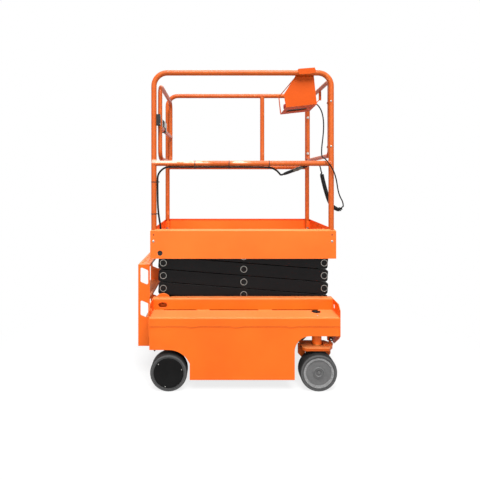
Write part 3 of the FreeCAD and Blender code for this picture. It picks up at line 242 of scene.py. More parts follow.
# Control lead: one rubber-jacketed lead, straight out of the control box, hooked over the
# middle rail, and back up in a long curly stretch to the connector inside the post. It is
# extruded rubber on copper strands, and its curly part is wound tight and baked.
LEAD_RADIUS = 0.004
CURL_TURN_RADIUS = 0.0095
CURL_PITCH = 0.0084
POINTS_PER_TURN = 14
OPENING_TURNS = 1.5
OPEN_STRIDE = 4
CURLED_BELOW = 4
UPPER_ROUTE = [
    (0.492, -0.235, 1.822), (0.516, -0.235, 1.822), (0.543, -0.238, 1.806),
    (0.565, -0.243, 1.768), (0.575, -0.250, 1.714), (0.575, -0.258, 1.656),
    (0.568, -0.267, 1.596), (0.558, -0.275, 1.535), (0.552, -0.285, 1.486),
    (0.553, -0.299, 1.454), (0.559, -0.322, 1.453), (0.569, -0.342, 1.434),
    (0.590, -0.349, 1.404), (0.614, -0.349, 1.362), (0.630, -0.346, 1.308),
    (0.639, -0.341, 1.252), (0.654, -0.333, 1.208), (0.679, -0.316, 1.175),
    (0.688, -0.300, 1.145), (0.678, -0.288, 1.124), (0.659, -0.282, 1.1205),
    (0.648, -0.281, 1.127)]
CURL_ROUTE = [
    (0.551, -0.279, 1.373), (0.563, -0.278, 1.312), (0.587, -0.277, 1.225),
    (0.605, -0.276, 1.172), (0.626, -0.279, 1.140), (0.648, -0.281, 1.127)]
LOWER_ROUTE = [
    (0.4913, -0.281, 1.4178), (0.512, -0.2805, 1.4255), (0.531, -0.280, 1.421),
    (0.5456, -0.27945, 1.40045), (0.551, -0.279, 1.373)]


def smooth_line(name, points):
    """A curve object whose one NURBS spline has these points, held at both ends."""
    data = bpy.data.curves.new(name, "CURVE")
    data.dimensions = "3D"
    spline = data.splines.new("NURBS")
    spline.points.add(len(points) - 1)
    for point, place in zip(spline.points, points):
        point.co = (*place, 1.0)
    spline.order_u = 3
    spline.use_endpoint_u = True
    line = bpy.data.objects.new(name, data)
    bpy.context.scene.collection.objects.link(line)
    return line


def read_line(points):
    """Closely spaced points along the smooth line that these points give."""
    line = smooth_line("route_reader", points)
    line.data.resolution_u = 24
    mesh = bpy.data.meshes.new_from_object(line)
    found = [vertex.co.copy() for vertex in mesh.vertices]
    bpy.data.objects.remove(line)
    bpy.data.meshes.remove(mesh)
    return found


def running_sums(amounts):
    """Each amount added to all before it, from zero."""
    sums = [0.0]
    for amount in amounts:
        sums.append(sums[-1] + amount)
    return sums


def curled(route, radius, pitch, per_turn):
    """Helix points about a route. The end turns open slowly from its line, drawn out."""
    line = read_line(route)
    runs = running_sums((ahead - here).length for here, ahead in zip(line, line[1:]))
    steps = round(runs[-1] / pitch) * per_turn
    openings = []
    for step in range(steps + 1):
        share = min(1.0, min(step, steps - step) / (OPENING_TURNS * per_turn))
        openings.append(share * share * (3 - 2 * share))
    reaches = running_sums(OPEN_STRIDE - (OPEN_STRIDE - 1) * opening
                           for opening in openings[1:])
    points = []
    index = 0
    for step in range(steps + 1):
        reach = runs[-1] * reaches[step] / reaches[-1]
        while index < len(runs) - 2 and runs[index + 1] < reach:
            index += 1
        share = (reach - runs[index]) / (runs[index + 1] - runs[index])
        centre = line[index].lerp(line[index + 1], share)
        forward = (line[index + 1] - line[index]).normalized()
        across = forward.cross(Vector((0, 1, 0))).normalized()
        level = across.cross(forward)
        angle = 2 * math.pi * step / per_turn
        points.append(centre + (across * math.cos(angle) + level * math.sin(angle))
                      * radius * openings[step])
    return points


curl_route = UPPER_ROUTE[-CURLED_BELOW:] + CURL_ROUTE[-2::-1]
curl_points = curled(curl_route, CURL_TURN_RADIUS, CURL_PITCH, POINTS_PER_TURN)
lead = smooth_line("control_lead",
                   UPPER_ROUTE[:-CURLED_BELOW] + curl_points + LOWER_ROUTE[-2::-1])
lead.data.bevel_depth = LEAD_RADIUS
lead.data.bevel_resolution = 3
lead.data.resolution_u = 3
lead.data.use_fill_caps = True
cable_rubber = Finish("cable_rubber", 0.5, Specular_IOR_Level=0.2)
grain = cable_rubber.noise(900, 3.0)
cable_rubber.set("Base Color", cable_rubber.ramp(
    cable_rubber.noise(40), (0.3, "0B0B0B"), (0.7, "111112")))
cable_rubber.set("Roughness", cable_rubber.spread(grain, 0.42, 0.58))
cable_rubber.bump(grain, 0.0001)
lead.data.materials.append(cable_rubber.material)
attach(lead, "platform")
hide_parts("control_lead_upper", "control_lead_curl", "control_lead_lower")


# Main beams and chassis frame: folded and cut steel plate, tacked with tabs in slots and
# welded along the joints, then powder coated orange in one go. The coat has a fine orange
# peel, with a painted highlight that makes its edges paler. Rings are rolled on the
# lashing holes.
WELD_STEP = 0.0035


class Fitting:
    """Gathers the small turned, swept and folded parts of one piece into a single mesh."""

    def __init__(self):
        self.points = []
        self.faces = []

    def add(self, points, faces):
        start = len(self.points)
        self.points += [tuple(point) for point in points]
        self.faces += [tuple(start + i for i in face) for face in faces]

    def turned(self, profile, foot, axis, sides=20, hollow=False):
        """A turned part: its profile of (height, radius) runs anticlockwise from the foot."""
        foot = Vector(foot)
        turn = Vector(axis).to_track_quat("Z", "Y").to_matrix()
        points, rings = [], []
        for height, radius in profile:
            count = sides if radius > 0 else 1
            rings.append(range(len(points), len(points) + count))
            for i in range(count):
                angle = 2 * math.pi * i / sides
                points.append(foot + turn @ Vector((radius * math.cos(angle),
                                                    radius * math.sin(angle), height)))
        pairs = list(zip(rings, rings[1:]))
        if hollow:
            pairs.append((rings[-1], rings[0]))
        faces = []
        for low, high in pairs:
            for i in range(sides):
                a, b = low[i % len(low)], low[(i + 1) % len(low)]
                c, e = high[(i + 1) % len(high)], high[i % len(high)]
                face = [a]
                for corner in (b, c, e):
                    if corner not in face:
                        face.append(corner)
                if len(face) > 2:
                    faces.append(face)
        self.add(points, faces)

    def swept(self, line, radii, sides=6, closed=False):
        """A round bar along a line, with one radius for each of its points."""
        line = [Vector(point) for point in line]
        count = len(line)
        points, faces = [], []
        across = None
        for i, here in enumerate(line):
            before = line[i - 1] if i or closed else here
            ahead = line[(i + 1) % count] if i + 1 < count or closed else here
            forward = (ahead - before).normalized()
            across = forward.orthogonal() if across is None else across
            across = (across - forward * across.dot(forward)).normalized()
            level = forward.cross(across)
            for k in range(sides):
                angle = 2 * math.pi * k / sides
                points.append(here + (across * math.cos(angle) + level * math.sin(angle))
                              * radii[i])
        for i in range(count if closed else count - 1):
            low, high = i * sides, (i + 1) % count * sides
            for k in range(sides):
                ahead = (k + 1) % sides
                faces.append((low + k, low + ahead, high + ahead, high + k))
        if not closed:
            faces.append(tuple(reversed(range(sides))))
            faces.append(tuple(range((count - 1) * sides, count * sides)))
        self.add(points, faces)

    def weld(self, corners, radius=0.0022, closed=False):
        """A weld bead along a line, with the ripples that each pool of metal leaves."""
        corners = [Vector(corner) for corner in corners]
        line = []
        for here, ahead in zip(corners, corners[1:] + (corners[:1] if closed else [])):
            steps = max(1, round((ahead - here).length / WELD_STEP))
            line += [here.lerp(ahead, step / steps) for step in range(steps)]
        if not closed:
            line.append(corners[-1])
        self.swept(line, [radius * (1 + 0.2 * math.sin(2.1 * i)) for i in range(len(line))],
                   closed=closed)

    def ring_weld(self, centre, axis, ring_radius, radius=0.002):
        """A weld bead round a tube."""
        turn = Vector(axis).to_track_quat("Z", "Y").to_matrix()
        steps = max(12, round(2 * math.pi * ring_radius / WELD_STEP))
        self.weld([Vector(centre) + turn @ Vector((
            ring_radius * math.cos(2 * math.pi * i / steps),
            ring_radius * math.sin(2 * math.pi * i / steps), 0)) for i in range(steps)],
            radius, closed=True)

    def plate(self, outline, thickness, place, edge=0.0006):
        """A small plate with eased edges: a convex outline, anticlockwise, at a place matrix."""
        count = len(outline)
        flat = [Vector(corner) for corner in outline]
        inset = []
        for i, here in enumerate(flat):
            before = (here - flat[i - 1]).normalized()
            after = (flat[(i + 1) % count] - here).normalized()
            inward = Vector((-before.y, before.x)) + Vector((-after.y, after.x))
            inset.append(here + inward * edge / (1 + before.dot(after)))
        points = [place @ Vector((*corner, height)) for height, ring in (
            (0, inset), (edge, flat), (thickness - edge, flat), (thickness, inset))
            for corner in ring]
        faces = [tuple(reversed(range(count))), tuple(range(3 * count, 4 * count))]
        for layer in range(3):
            for i in range(count):
                ahead = (i + 1) % count
                faces.append((layer * count + i, layer * count + ahead,
                              (layer + 1) * count + ahead, (layer + 1) * count + i))
        self.add(points, faces)

    def block(self, low, high, edge=0.001):
        """A block with eased edges between two corners."""
        low, high = Vector(low), Vector(high)
        span = high - low
        self.plate([(0, 0), (span.x, 0), (span.x, span.y), (0, span.y)], span.z,
                   Matrix.Translation(low), edge)

    def bolt(self, foot, axis, radius=0.0075, washer=True):
        """A hexagon head on its washer, chamfered at the top."""
        rise = 0.0
        if washer:
            rise = radius * 0.22
            self.turned([(0, radius * 1.3), (rise, radius * 1.3), (rise, 0)], foot, axis)
        self.turned([(rise, radius), (rise + radius * 0.62, radius),
                     (rise + radius * 0.72, radius * 0.9), (rise + radius * 0.72, 0)],
                    foot, axis, sides=6)

    def dome(self, foot, axis, radius=0.008, height=0.0045):
        """A round-headed bolt or rivet."""
        profile = [(height * math.sin(a), radius * math.cos(a)) for a in
                   (math.pi / 2 * step / 5 for step in range(5))]
        self.turned(profile + [(height, 0)], foot, axis, sides=18)

    def make(self, name, finish, body, slot, sharp_degrees=32):
        """Makes the mesh, and has it ride one body."""
        mesh = bpy.data.meshes.new(name)
        mesh.from_pydata(self.points, [], self.faces)
        mesh.shade_smooth()
        mesh.set_sharp_from_angle(angle=math.radians(sharp_degrees))
        mesh.materials.append(finish.material)
        piece = bpy.data.objects.new(name, mesh)
        bpy.context.scene.collection.objects.link(piece)
        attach(piece, body)


SIDES = (("right", -1), ("left", 1))
BOTH = (-1, 1)
ENDS = ((-0.5405, 1), (0.6395, -1))
TRACK_HALF = 0.380
SHELF_TOP = 0.4586
BEAM_OUT, BEAM_TOP = 0.240, 0.534
BEAM_TABS = ((-0.5405, -0.472), (-0.253, -0.173), (0.151, 0.236), (0.545, 0.6395))
KINGPIN = (0.516, 0.305)
SLEEVE_RADIUS = 0.030
BRIDGE_LOW, BRIDGE_TOP, BRIDGE_HALF = 0.373, 0.381, 0.058
REAR_FACE, FRONT_FACE = -0.5445, 0.6435
LASH_RADIUS, LASH_HIGH = 0.016, 0.490
LASHES = ((REAR_FACE, -1, 0.310), (FRONT_FACE, 1, 0.262))
# Painted light from above: the orange coats' upward faces are painted paler, in patches.
TOP_LIGHT_SHADE, TOP_LIGHT_FAINT, TOP_LIGHT_FULL = "FBB070", 0.32, 0.46


def orange_finish(name, dark, middle, light, rough, **sockets):
    """The orange powder coat in the tone that one group has. Painted light makes its
    upward faces paler in patches, and a painted highlight makes its edges paler.
    """
    coat = Finish(name, rough, **sockets)
    edges = coat.soften_edges(0.0016)
    # A painted highlight: the edges' mask lifts the colour to the light shade.
    tone = coat.sum(coat.noise(2.2, 4.0), edges)
    clean = coat.ramp(tone, (0.3, dark), (0.65, middle), (0.97, middle), (1.0, light))
    # Painted light from above: upward faces turn paler, in patches.
    painted_top_light = coat.sum(coat.spread(coat.facing("Z"), 0.0, 1.0, 0.5, 0.95),
                    coat.spread(coat.noise(3.5, 4.0), TOP_LIGHT_FAINT, TOP_LIGHT_FULL), "MULTIPLY")
    coat.set("Base Color", coat.mix(painted_top_light, clean, srgb(TOP_LIGHT_SHADE)))
    coat.set("Roughness", coat.spread(coat.noise(45, 3.0), rough - 0.06, rough + 0.08))
    coat.bump(coat.noise(700), 0.00025, 0.6)
    return coat


orange_coat = orange_finish("orange_coat", "EE6412", "F87018", "FF9A50", 0.42,
                            Specular_IOR_Level=0.3)
dress(orange_coat, "chassis_frame", "main_beam_right", "main_beam_left")
frame_welds = Fitting()
for side in BOTH:
    for end_x, way in ENDS:
        x = end_x + way * 0.0005
        frame_welds.weld([(x, side * (BEAM_OUT + 0.0005), SHELF_TOP),
                          (x, side * (BEAM_OUT + 0.0005), BEAM_TOP - 0.008)])
        frame_welds.weld([(x, side * (BEAM_OUT + 0.004), SHELF_TOP),
                          (x, side * (TRACK_HALF - 0.006), SHELF_TOP)], 0.0018)
    for start, end in BEAM_TABS:
        frame_welds.weld([(start, side * (BEAM_OUT + 0.0008), SHELF_TOP),
                          (end, side * (BEAM_OUT + 0.0008), SHELF_TOP)], 0.0011)
    frame_welds.weld([(KINGPIN[0] - BRIDGE_HALF, side * (BEAM_OUT + 0.001), BRIDGE_LOW),
                      (KINGPIN[0] + BRIDGE_HALF, side * (BEAM_OUT + 0.001), BRIDGE_LOW)])
    frame_welds.ring_weld((KINGPIN[0], side * KINGPIN[1], BRIDGE_LOW), (0, 0, 1),
                          SLEEVE_RADIUS + 0.0008, 0.0026)
for end_x, way, lash_y in LASHES:
    for side in BOTH:
        frame_welds.turned(
            [(0, LASH_RADIUS + 0.004), (0.0016, LASH_RADIUS + 0.0034),
             (0.0023, LASH_RADIUS + 0.0018), (0.0016, LASH_RADIUS + 0.0002),
             (0, LASH_RADIUS)], (end_x, side * lash_y, LASH_HIGH), (way, 0, 0), 28, True)
frame_welds.make("frame_welds", orange_coat, "chassis", "orange_paint")


# Side shelves and covers: long folded steel plates that close the sides, coated like the
# frame and held from inside. Dark strips along a shelf paint the shade in the slots between
# the beams' tabs. A black disc under its access hole paints the shade in it, beside a zinc
# screw, and a black plug closes the cover's drain.
dress(orange_coat, "side_shelf_right", "side_shelf_left", "side_cover_right",
      "side_cover_left")


def grained(name, rough, shades, mottle, grain, depth, edge=None, strength=1.0, **sockets):
    """A finish mottled between two close shades, with a fine grain: noises are (scale, detail)."""
    made = Finish(name, rough, **sockets)
    if edge is not None:
        made.soften_edges(edge)
    dark, light = shades
    made.set("Base Color", made.ramp(made.noise(*mottle), (0.3, dark), (0.7, light)))
    made.bump(made.noise(*grain), depth, strength)
    return made


zinc = grained("zinc_plate", 0.34, ("9C9A94", "BCBAB4"), (90, 3.0), (1600,), 0.00004,
               edge=0.0004, Metallic=1.0)
black_plastic = grained("black_plastic", 0.5, ("131313", "1B1B1B"), (30,), (1200,), 0.0001,
                        Specular_IOR_Level=0.3)
slot_shade = grained("slot_shade", 0.8, ("2E1206", "3A1808"), (30,), (800,), 0.0001,
                     Specular_IOR_Level=0.0)
SHELF_SCREW = (0.513, 0.335)
DRAIN_PLUG = (-0.508, 0.374, 0.258)
SLOT_WIDE, SLOT_TALL = 0.0055, 0.0022
ACCESS_HOLE, ACCESS_RADIUS, HOLE_SHADE_HIGH = (0.521, 0.270), 0.0315, 0.4545
shelf_screws, drain_plug_and_hole_shades, shelf_slot_shades = Fitting(), Fitting(), Fitting()
# Dark strips paint the shade in the slots between the beams' tabs.
for side in BOTH:
    for (_, start), (end, _) in zip(BEAM_TABS, BEAM_TABS[1:]):
        y_span = sorted((side * BEAM_OUT, side * (BEAM_OUT + SLOT_WIDE)))
        shelf_slot_shades.block((start + 0.003, y_span[0], SHELF_TOP - 0.0005),
                          (end - 0.003, y_span[1], SHELF_TOP + SLOT_TALL), 0.0004)
shelf_slot_shades.make("shelf_slot_shades", slot_shade, "chassis", "orange_paint")
for side in BOTH:
    shelf_screws.dome((SHELF_SCREW[0], side * SHELF_SCREW[1], SHELF_TOP), (0, 0, 1), 0.0065,
                      0.003)
    drain_plug_and_hole_shades.turned([(0, 0), (0, 0.006), (0.004, 0.0055), (0.0075, 0.003), (0.0085, 0)],
                       (DRAIN_PLUG[0], side * DRAIN_PLUG[1], DRAIN_PLUG[2]), (0, 0, -1), 12)
    # A black disc just under the shelf paints the shade in the access hole.
    drain_plug_and_hole_shades.turned([(-0.006, ACCESS_RADIUS - 0.004), (0, ACCESS_RADIUS),
                        (0, ACCESS_RADIUS - 0.006), (-0.003, ACCESS_RADIUS - 0.008),
                        (-0.003, 0)],
                       (ACCESS_HOLE[0], side * ACCESS_HOLE[1], HOLE_SHADE_HIGH), (0, 0, 1), 40)
shelf_screws.make("shelf_screws", zinc, "chassis", "pin_steel")
drain_plug_and_hole_shades.make("drain_plug_and_hole_shades", black_plastic, "chassis", "battery_black")


# Ladder: two cut plate cheeks, welded to the rear end plate, with three folded treads
# between them. The treads are pressed with pierced, raised holes for grip, and stitched to
# the cheeks with short welds.
dress(orange_coat, "ladder_cheeks", "ladder_treads")
LADDER_BACK, LADDER_FRONT, LADDER_OUT = -0.6435, -0.5665, 0.222
CHEEK_IN, CHEEK_WELD = LADDER_OUT - 0.0045, (0.345, 0.446)
TREAD_TOPS = (0.753, 0.534, 0.315)
TREAD_LOW = 0.003
STITCHES = ((LADDER_BACK + 0.006, -0.616), (-0.594, LADDER_FRONT - 0.006))
DIMPLE_PITCH, DIMPLE_RADIUS = 0.044, 0.0085
DIMPLE_ROWS = ((-0.622, 0.0), (-0.588, 0.5))
HOLE_FLOOR = 0.0002
ladder_welds, grip_rings, grip_hole_shades = Fitting(), Fitting(), Fitting()
for side in BOTH:
    ladder_welds.weld([(REAR_FACE, side * (LADDER_OUT + 0.0005), z) for z in CHEEK_WELD])
    for tread_top in TREAD_TOPS:
        for stitch in STITCHES:
            ladder_welds.weld([(x, side * CHEEK_IN, tread_top - TREAD_LOW - 0.0005)
                               for x in stitch], 0.0019)
for tread_top in TREAD_TOPS:
    for row_x, shift in DIMPLE_ROWS:
        for i in range(-4, 5 - round(2 * shift)):
            spot = (row_x, (i + shift) * DIMPLE_PITCH, tread_top)
            grip_rings.turned([(0, DIMPLE_RADIUS), (0.0012, DIMPLE_RADIUS * 0.86),
                               (0.0021, DIMPLE_RADIUS * 0.7), (0.0019, DIMPLE_RADIUS * 0.6),
                               (HOLE_FLOOR, DIMPLE_RADIUS * 0.56)], spot, (0, 0, 1), 16)
            # Black discs paint the shade in the pierced holes.
            grip_hole_shades.turned([(HOLE_FLOOR, DIMPLE_RADIUS * 0.58), (HOLE_FLOOR * 1.5, 0)],
                              spot, (0, 0, 1), 16)
ladder_welds.make("ladder_welds", orange_coat, "chassis", "orange_paint")
grip_rings.make("tread_grip_rings", orange_coat, "chassis", "deck_steel")
grip_hole_shades.make("tread_grip_hole_shades", black_plastic, "chassis", "deck_steel")


# Battery and pump compartment: a moulded black case between the axles, ribbed at its ends,
# with a folded lid. It stands on the chassis pan's foot and shows only from underneath.
dress(black_plastic, "battery_pack")
CASE_ENDS = ((-0.270, -1), (0.341, 1))
CASE_LOW, CASE_HIGH, CASE_HALF = 0.080, 0.343, 0.360
RIB_COUNT, RIB_WIDTH, RIB_PROUD = 13, 0.010, 0.005
case_ribs = Fitting()
for end_x, way in CASE_ENDS:
    x_span = sorted((end_x - way * 0.001, end_x + way * RIB_PROUD))
    for i in range(RIB_COUNT):
        y = (2 * i / (RIB_COUNT - 1) - 1) * (CASE_HALF - RIB_WIDTH)
        case_ribs.block((x_span[0], y - RIB_WIDTH / 2, CASE_LOW + 0.012),
                        (x_span[1], y + RIB_WIDTH / 2, CASE_HIGH - 0.045))
    case_ribs.block((x_span[0], -CASE_HALF, CASE_HIGH - 0.04),
                    (x_span[1], CASE_HALF, CASE_HIGH - 0.004))
case_ribs.make("battery_case_ribs", black_plastic, "chassis", "battery_black")


# Drive motors: cast, black enamelled cans with cooling rings, one behind each rear wheel. A
# turned cap with four bolts closes the inner end, and the cable leaves by a gland.
motor_enamel = grained("motor_enamel", 0.42, ("1C1D1E", "292A2B"), (24, 3.0), (420, 3.0),
                       0.0003, edge=0.001, strength=0.6, Specular_IOR_Level=0.4)
dress(motor_enamel, "drive_motor_right", "drive_motor_left")
REAR_AXLE, FRONT_AXLE, WHEEL_RADIUS = -0.421, 0.510, 0.115
MOTOR_IN, MOTOR_RADIUS = 0.150, 0.058
FIN_COUNT, FIN_PITCH = 11, 0.0105
MOTOR_BOLT_CIRCLE = 0.044
motor_caps, motor_bolts = Fitting(), Fitting()
for side in BOTH:
    inward = (0, -side, 0)
    centre = Vector((REAR_AXLE, side * MOTOR_IN, WHEEL_RADIUS))
    motor_caps.turned([(0, 0.052), (0.004, 0.052), (0.010, 0.047), (0.012, 0.040),
                       (0.012, 0.014), (0.009, 0.012), (0.009, 0)], centre, inward, 40)
    for i in range(FIN_COUNT):
        y = MOTOR_IN + 0.016 + i * FIN_PITCH
        motor_caps.turned([(0, MOTOR_RADIUS - 0.001), (0.0008, MOTOR_RADIUS + 0.003),
                           (0.0032, MOTOR_RADIUS + 0.003), (0.004, MOTOR_RADIUS - 0.001)],
                          (REAR_AXLE, side * y, WHEEL_RADIUS), (0, side, 0), 40, True)
    motor_caps.turned([(0, 0.011), (0.008, 0.011), (0.009, 0.008), (0.018, 0.0075),
                       (0.019, 0.005), (0.034, 0.0045), (0.034, 0)],
                      centre + Vector((0, side * 0.012, MOTOR_RADIUS - 0.003)), (0, 0, 1), 12)
    for i in range(4):
        angle = math.pi / 4 + i * math.pi / 2
        motor_bolts.bolt(centre + Vector((MOTOR_BOLT_CIRCLE * math.cos(angle), -side * 0.0108,
                                          MOTOR_BOLT_CIRCLE * math.sin(angle))),
                         inward, 0.005, False)
motor_caps.make("motor_end_caps", motor_enamel, "chassis", "motor_grey")
motor_bolts.make("motor_bolts", zinc, "chassis", "pin_steel")


# Wheels: smooth solid tyres of grey rubber moulded on their hubs, with painted shade that
# leaves the side greyer than the tread. The rear hubs hide under pressed black covers with
# three screws. The front ones are cast grey, with a pale rim flange, dark rings of painted
# shade in their grooves, and a bright cap.
SCREW_CIRCLE = 0.084
HUB_FACE = 0.377
SCREW_ANGLES = (138, 16, -104)
BEAD_RINGS = ((0.0965, 0.0007), (0.1015, 0.0005))
FLANGE_EDGE = (0.0775, 0.0815)
RIM_GROOVE_SHADES = ((0.0845, 0.0022, 0.35), (0.0275, 0.0032, 0.55), (0.0130, 0.0032, 0.45))


def tyre_finish(name, axle_x, side_shade, tread_shade):
    """Grey rubber with painted shade: paler on the side, darker toward the tread and on it."""
    rubber = Finish(name, 0.75, Specular_IOR_Level=0.25)
    facing = rubber.facing("Y")
    sideways = rubber.sum(facing, facing, "MULTIPLY")
    # Painted shade: the side that faces across is paler, and the rubber darkens toward the tread.
    painted_side_light = rubber.sum(sideways, rubber.spread(
        rubber.radius_about(axle_x, WHEEL_RADIUS), 0.0, -0.35, 0.100, 0.114))
    mottled = rubber.sum(painted_side_light, rubber.spread(rubber.noise(38, 4.0), -0.05, 0.05))
    rubber.set("Base Color", rubber.ramp(
        mottled, (0.1, tread_shade), (0.4, "474747"), (0.95, side_shade)))
    rubber.bump(rubber.noise(600, 3.0), 0.0002)
    return rubber


for end_name, axle_x, side_shade, tread_shade in (
        ("rear", REAR_AXLE, "545454", "202020"), ("front", FRONT_AXLE, "5F5F5F", "222222")):
    tyre_rubber = tyre_finish("tyre_rubber_" + end_name, axle_x, side_shade, tread_shade)
    dress(tyre_rubber, "tyre_%s_right" % end_name, "tyre_%s_left" % end_name)
    for side_name, side in SIDES:
        body = "wheel_%s_%s" % (end_name, side_name)
        beads = Fitting()
        for ring_radius, height in BEAD_RINGS:
            beads.turned([(-0.001, ring_radius + 0.001), (height, ring_radius + 0.0003),
                          (height, ring_radius - 0.0003), (-0.001, ring_radius - 0.001)],
                         (axle_x, side * TRACK_HALF, WHEEL_RADIUS), (0, side, 0), 48, True)
        beads.make("tyre_beads_%s_%s" % (end_name, side_name), tyre_rubber, body,
                   "tyre_rubber")

cover_black = grained("cover_black", 0.55, ("080808", "0E0E0E"), (20, 3.0), (800,), 0.0001,
                      Specular_IOR_Level=0.12)
dress(cover_black, "hub_rear_right", "hub_rear_left")
rim_grey = Finish("rim_grey", 0.55, Specular_IOR_Level=0.25)
from_axle = rim_grey.radius_about(FRONT_AXLE, WHEEL_RADIUS)
flange = rim_grey.spread(from_axle, 0, 1, *FLANGE_EDGE)
cast_shade = rim_grey.ramp(rim_grey.noise(60, 3.0), (0.3, "636363"), (0.7, "6D6D6D"))
pale_flange_shade = rim_grey.ramp(rim_grey.noise(140, 5.0), (0.35, "808080"), (0.65, "A6A6A6"))
rim_shade = rim_grey.mix(flange, cast_shade, pale_flange_shade)
# Painted shade: dark rings darken the hub's grooves.
for ring_radius, half_width, depth in RIM_GROOVE_SHADES:
    off_ring = rim_grey.node("Math", {0: rim_grey.sum(from_axle, ring_radius, "SUBTRACT")},
                             operation="ABSOLUTE").outputs[0]
    groove_shade = rim_grey.spread(off_ring, depth, 0.0, 0.0, half_width)
    rim_shade = rim_grey.mix(groove_shade, rim_shade, srgb("181818"))
rim_grey.set("Base Color", rim_shade)
rim_grey.bump(rim_grey.noise(500, 3.0), 0.0001)
dress(rim_grey, "hub_front_right", "hub_front_left")
for side_name, side in SIDES:
    outward = (0, side, 0)
    face = Vector((REAR_AXLE, side * HUB_FACE, WHEEL_RADIUS))
    cover, screws, cap = Fitting(), Fitting(), Fitting()
    cover.turned([(0, 0.0915), (0.0016, 0.0915), (0.0026, 0.0898), (0.0026, 0.0775),
                  (0.0016, 0.0755), (0.0016, 0.020), (0.0010, 0.018), (0.0010, 0)],
                 face, outward, 64)
    cover.make("hub_cover_" + side_name, cover_black, "wheel_rear_" + side_name, "hub_cover")
    for angle in map(math.radians, SCREW_ANGLES):
        screws.dome(face + Vector((SCREW_CIRCLE * math.cos(angle), side * 0.0014,
                                   SCREW_CIRCLE * math.sin(angle))), outward, 0.004, 0.0018)
    screws.make("cover_screws_" + side_name, zinc, "wheel_rear_" + side_name, "pin_steel")
    cap.turned([(0, 0.0055), (0.0012, 0.0052), (0.0020, 0.0035), (0.0022, 0)],
               (FRONT_AXLE, side * (HUB_FACE - 0.0045), WHEEL_RADIUS), outward, 20)
    cap.make("axle_cap_" + side_name, zinc, "wheel_front_" + side_name, "pin_steel")


# Front knuckles: thick plates welded to a leg that carries the stub axle. Each one turns on
# a kingpin in a bronze bush, held by a big nut on top, and a ball joint under a rubber boot
# takes the tie rod.
# The knuckles and the tie rod wear a darker copy of the orange coat, painted shade.
knuckle_shaded_coat = orange_finish("knuckle_shaded_coat", "B84A0E", "C65412", "F09048", 0.42,
                             Specular_IOR_Level=0.25)
dress(knuckle_shaded_coat, "knuckle_right", "knuckle_left", "tie_rod")
bronze = grained("bronze_bush", 0.35, ("C09048", "D8B068"), (120, 3.0), (1500,), 0.00004,
                 Metallic=1.0)
KNUCKLE_TOP, KNUCKLE_LOW = 0.260, 0.243
LEG_IN, LEG_OUT, LEG_BACK, LEG_FRONT = 0.278, 0.290, 0.446, 0.574
LEG_WINGS = ((LEG_BACK + 0.0003, -1, 0.046), (LEG_FRONT - 0.0003, 1, 0.036))
WING_LOW = 0.175
TURNED_UP = Matrix.Rotation(math.pi / 2, 4, "X")
TIE_PLACE = (0.601, 0.305, 0.302)
EYE_RADIUS = 0.018
for side_name, side in SIDES:
    joint_welds, bush, nut = Fitting(), Fitting(), Fitting()
    for y in (LEG_IN - 0.0005, LEG_OUT + 0.0005):
        joint_welds.weld([(x, side * y, KNUCKLE_LOW) for x in (LEG_BACK, LEG_FRONT)], 0.003)
    joint_welds.ring_weld((KINGPIN[0], side * KINGPIN[1], KNUCKLE_TOP), (0, 0, 1), 0.0305,
                          0.0022)
    joint_welds.make("knuckle_welds_" + side_name, knuckle_shaded_coat, "steer_" + side_name,
                     "orange_paint")
    wings = Fitting()
    wing_y = max(side * LEG_IN, side * LEG_OUT)
    for start, way, reach in LEG_WINGS:
        corners = [(0, 0), (reach * 0.55, 0), (reach, 0.022), (reach, KNUCKLE_TOP - WING_LOW),
                   (0, KNUCKLE_TOP - WING_LOW)]
        if way < 0:
            corners = [(-u, v) for u, v in reversed(corners)]
        wings.plate(corners, LEG_OUT - LEG_IN,
                    Matrix.Translation((start, wing_y, WING_LOW)) @ TURNED_UP)
    wings.make("knuckle_wings_" + side_name, knuckle_shaded_coat, "steer_" + side_name,
               "orange_paint")
    bush.turned([(0, 0.0278), (0.009, 0.0278), (0.0115, 0.0262), (0.0115, 0.0236),
                 (0, 0.0236)], (KINGPIN[0], side * KINGPIN[1], KNUCKLE_TOP + 0.0002),
                (0, 0, 1), 40, True)
    bush.make("kingpin_bush_" + side_name, bronze, "steer_" + side_name, "pin_steel")
    nut_foot = (KINGPIN[0], side * KINGPIN[1], BRIDGE_TOP + 0.0004)
    nut.turned([(0, 0.030), (0.0025, 0.030), (0.0025, 0)], nut_foot, (0, 0, 1), 32)
    nut.turned([(0.0025, 0.024), (0.016, 0.024), (0.018, 0.022), (0.018, 0.013),
                (0.024, 0.013), (0.0255, 0.0115), (0.0255, 0)], nut_foot, (0, 0, 1), 6)
    nut.make("kingpin_nut_" + side_name, zinc, "steer_" + side_name, "pin_steel")
boots, ball_ends = Fitting(), Fitting()
for side in BOTH:
    eye = Vector((TIE_PLACE[0], side * TIE_PLACE[1], TIE_PLACE[2]))
    boots.turned([(0, 0.0125), (0.003, 0.0135), (0.0055, 0.012), (0.0065, 0.0095),
                  (0.0065, 0)], eye + Vector((0, side * (EYE_RADIUS - 0.003), 0)),
                 (0, side, 0), 24)
    ball_ends.dome(eye + Vector((0, side * (EYE_RADIUS + 0.0035), 0)), (0, side, 0), 0.006,
                   0.0045)
    boots.turned([(0, 0.0165), (0.003, 0.0165), (0.006, 0.013), (0.009, 0.0085), (0.009, 0)],
                 eye + Vector((0, 0, 0.012)), (0, 0, 1), 24)
    ball_ends.bolt(eye + Vector((0, 0, 0.0205)), (0, 0, 1), 0.0075, False)
    ball_ends.turned([(0, 0.0135), (0.010, 0.0135), (0.010, 0.0092), (0, 0.0092)],
                     eye - Vector((0, side * (EYE_RADIUS + 0.012), 0)), (0, side, 0), 6, True)
boots.make("ball_joint_boots", cable_rubber, "tie_bar", "cable_black")
ball_ends.make("ball_joint_nuts", zinc, "tie_bar", "pin_steel")


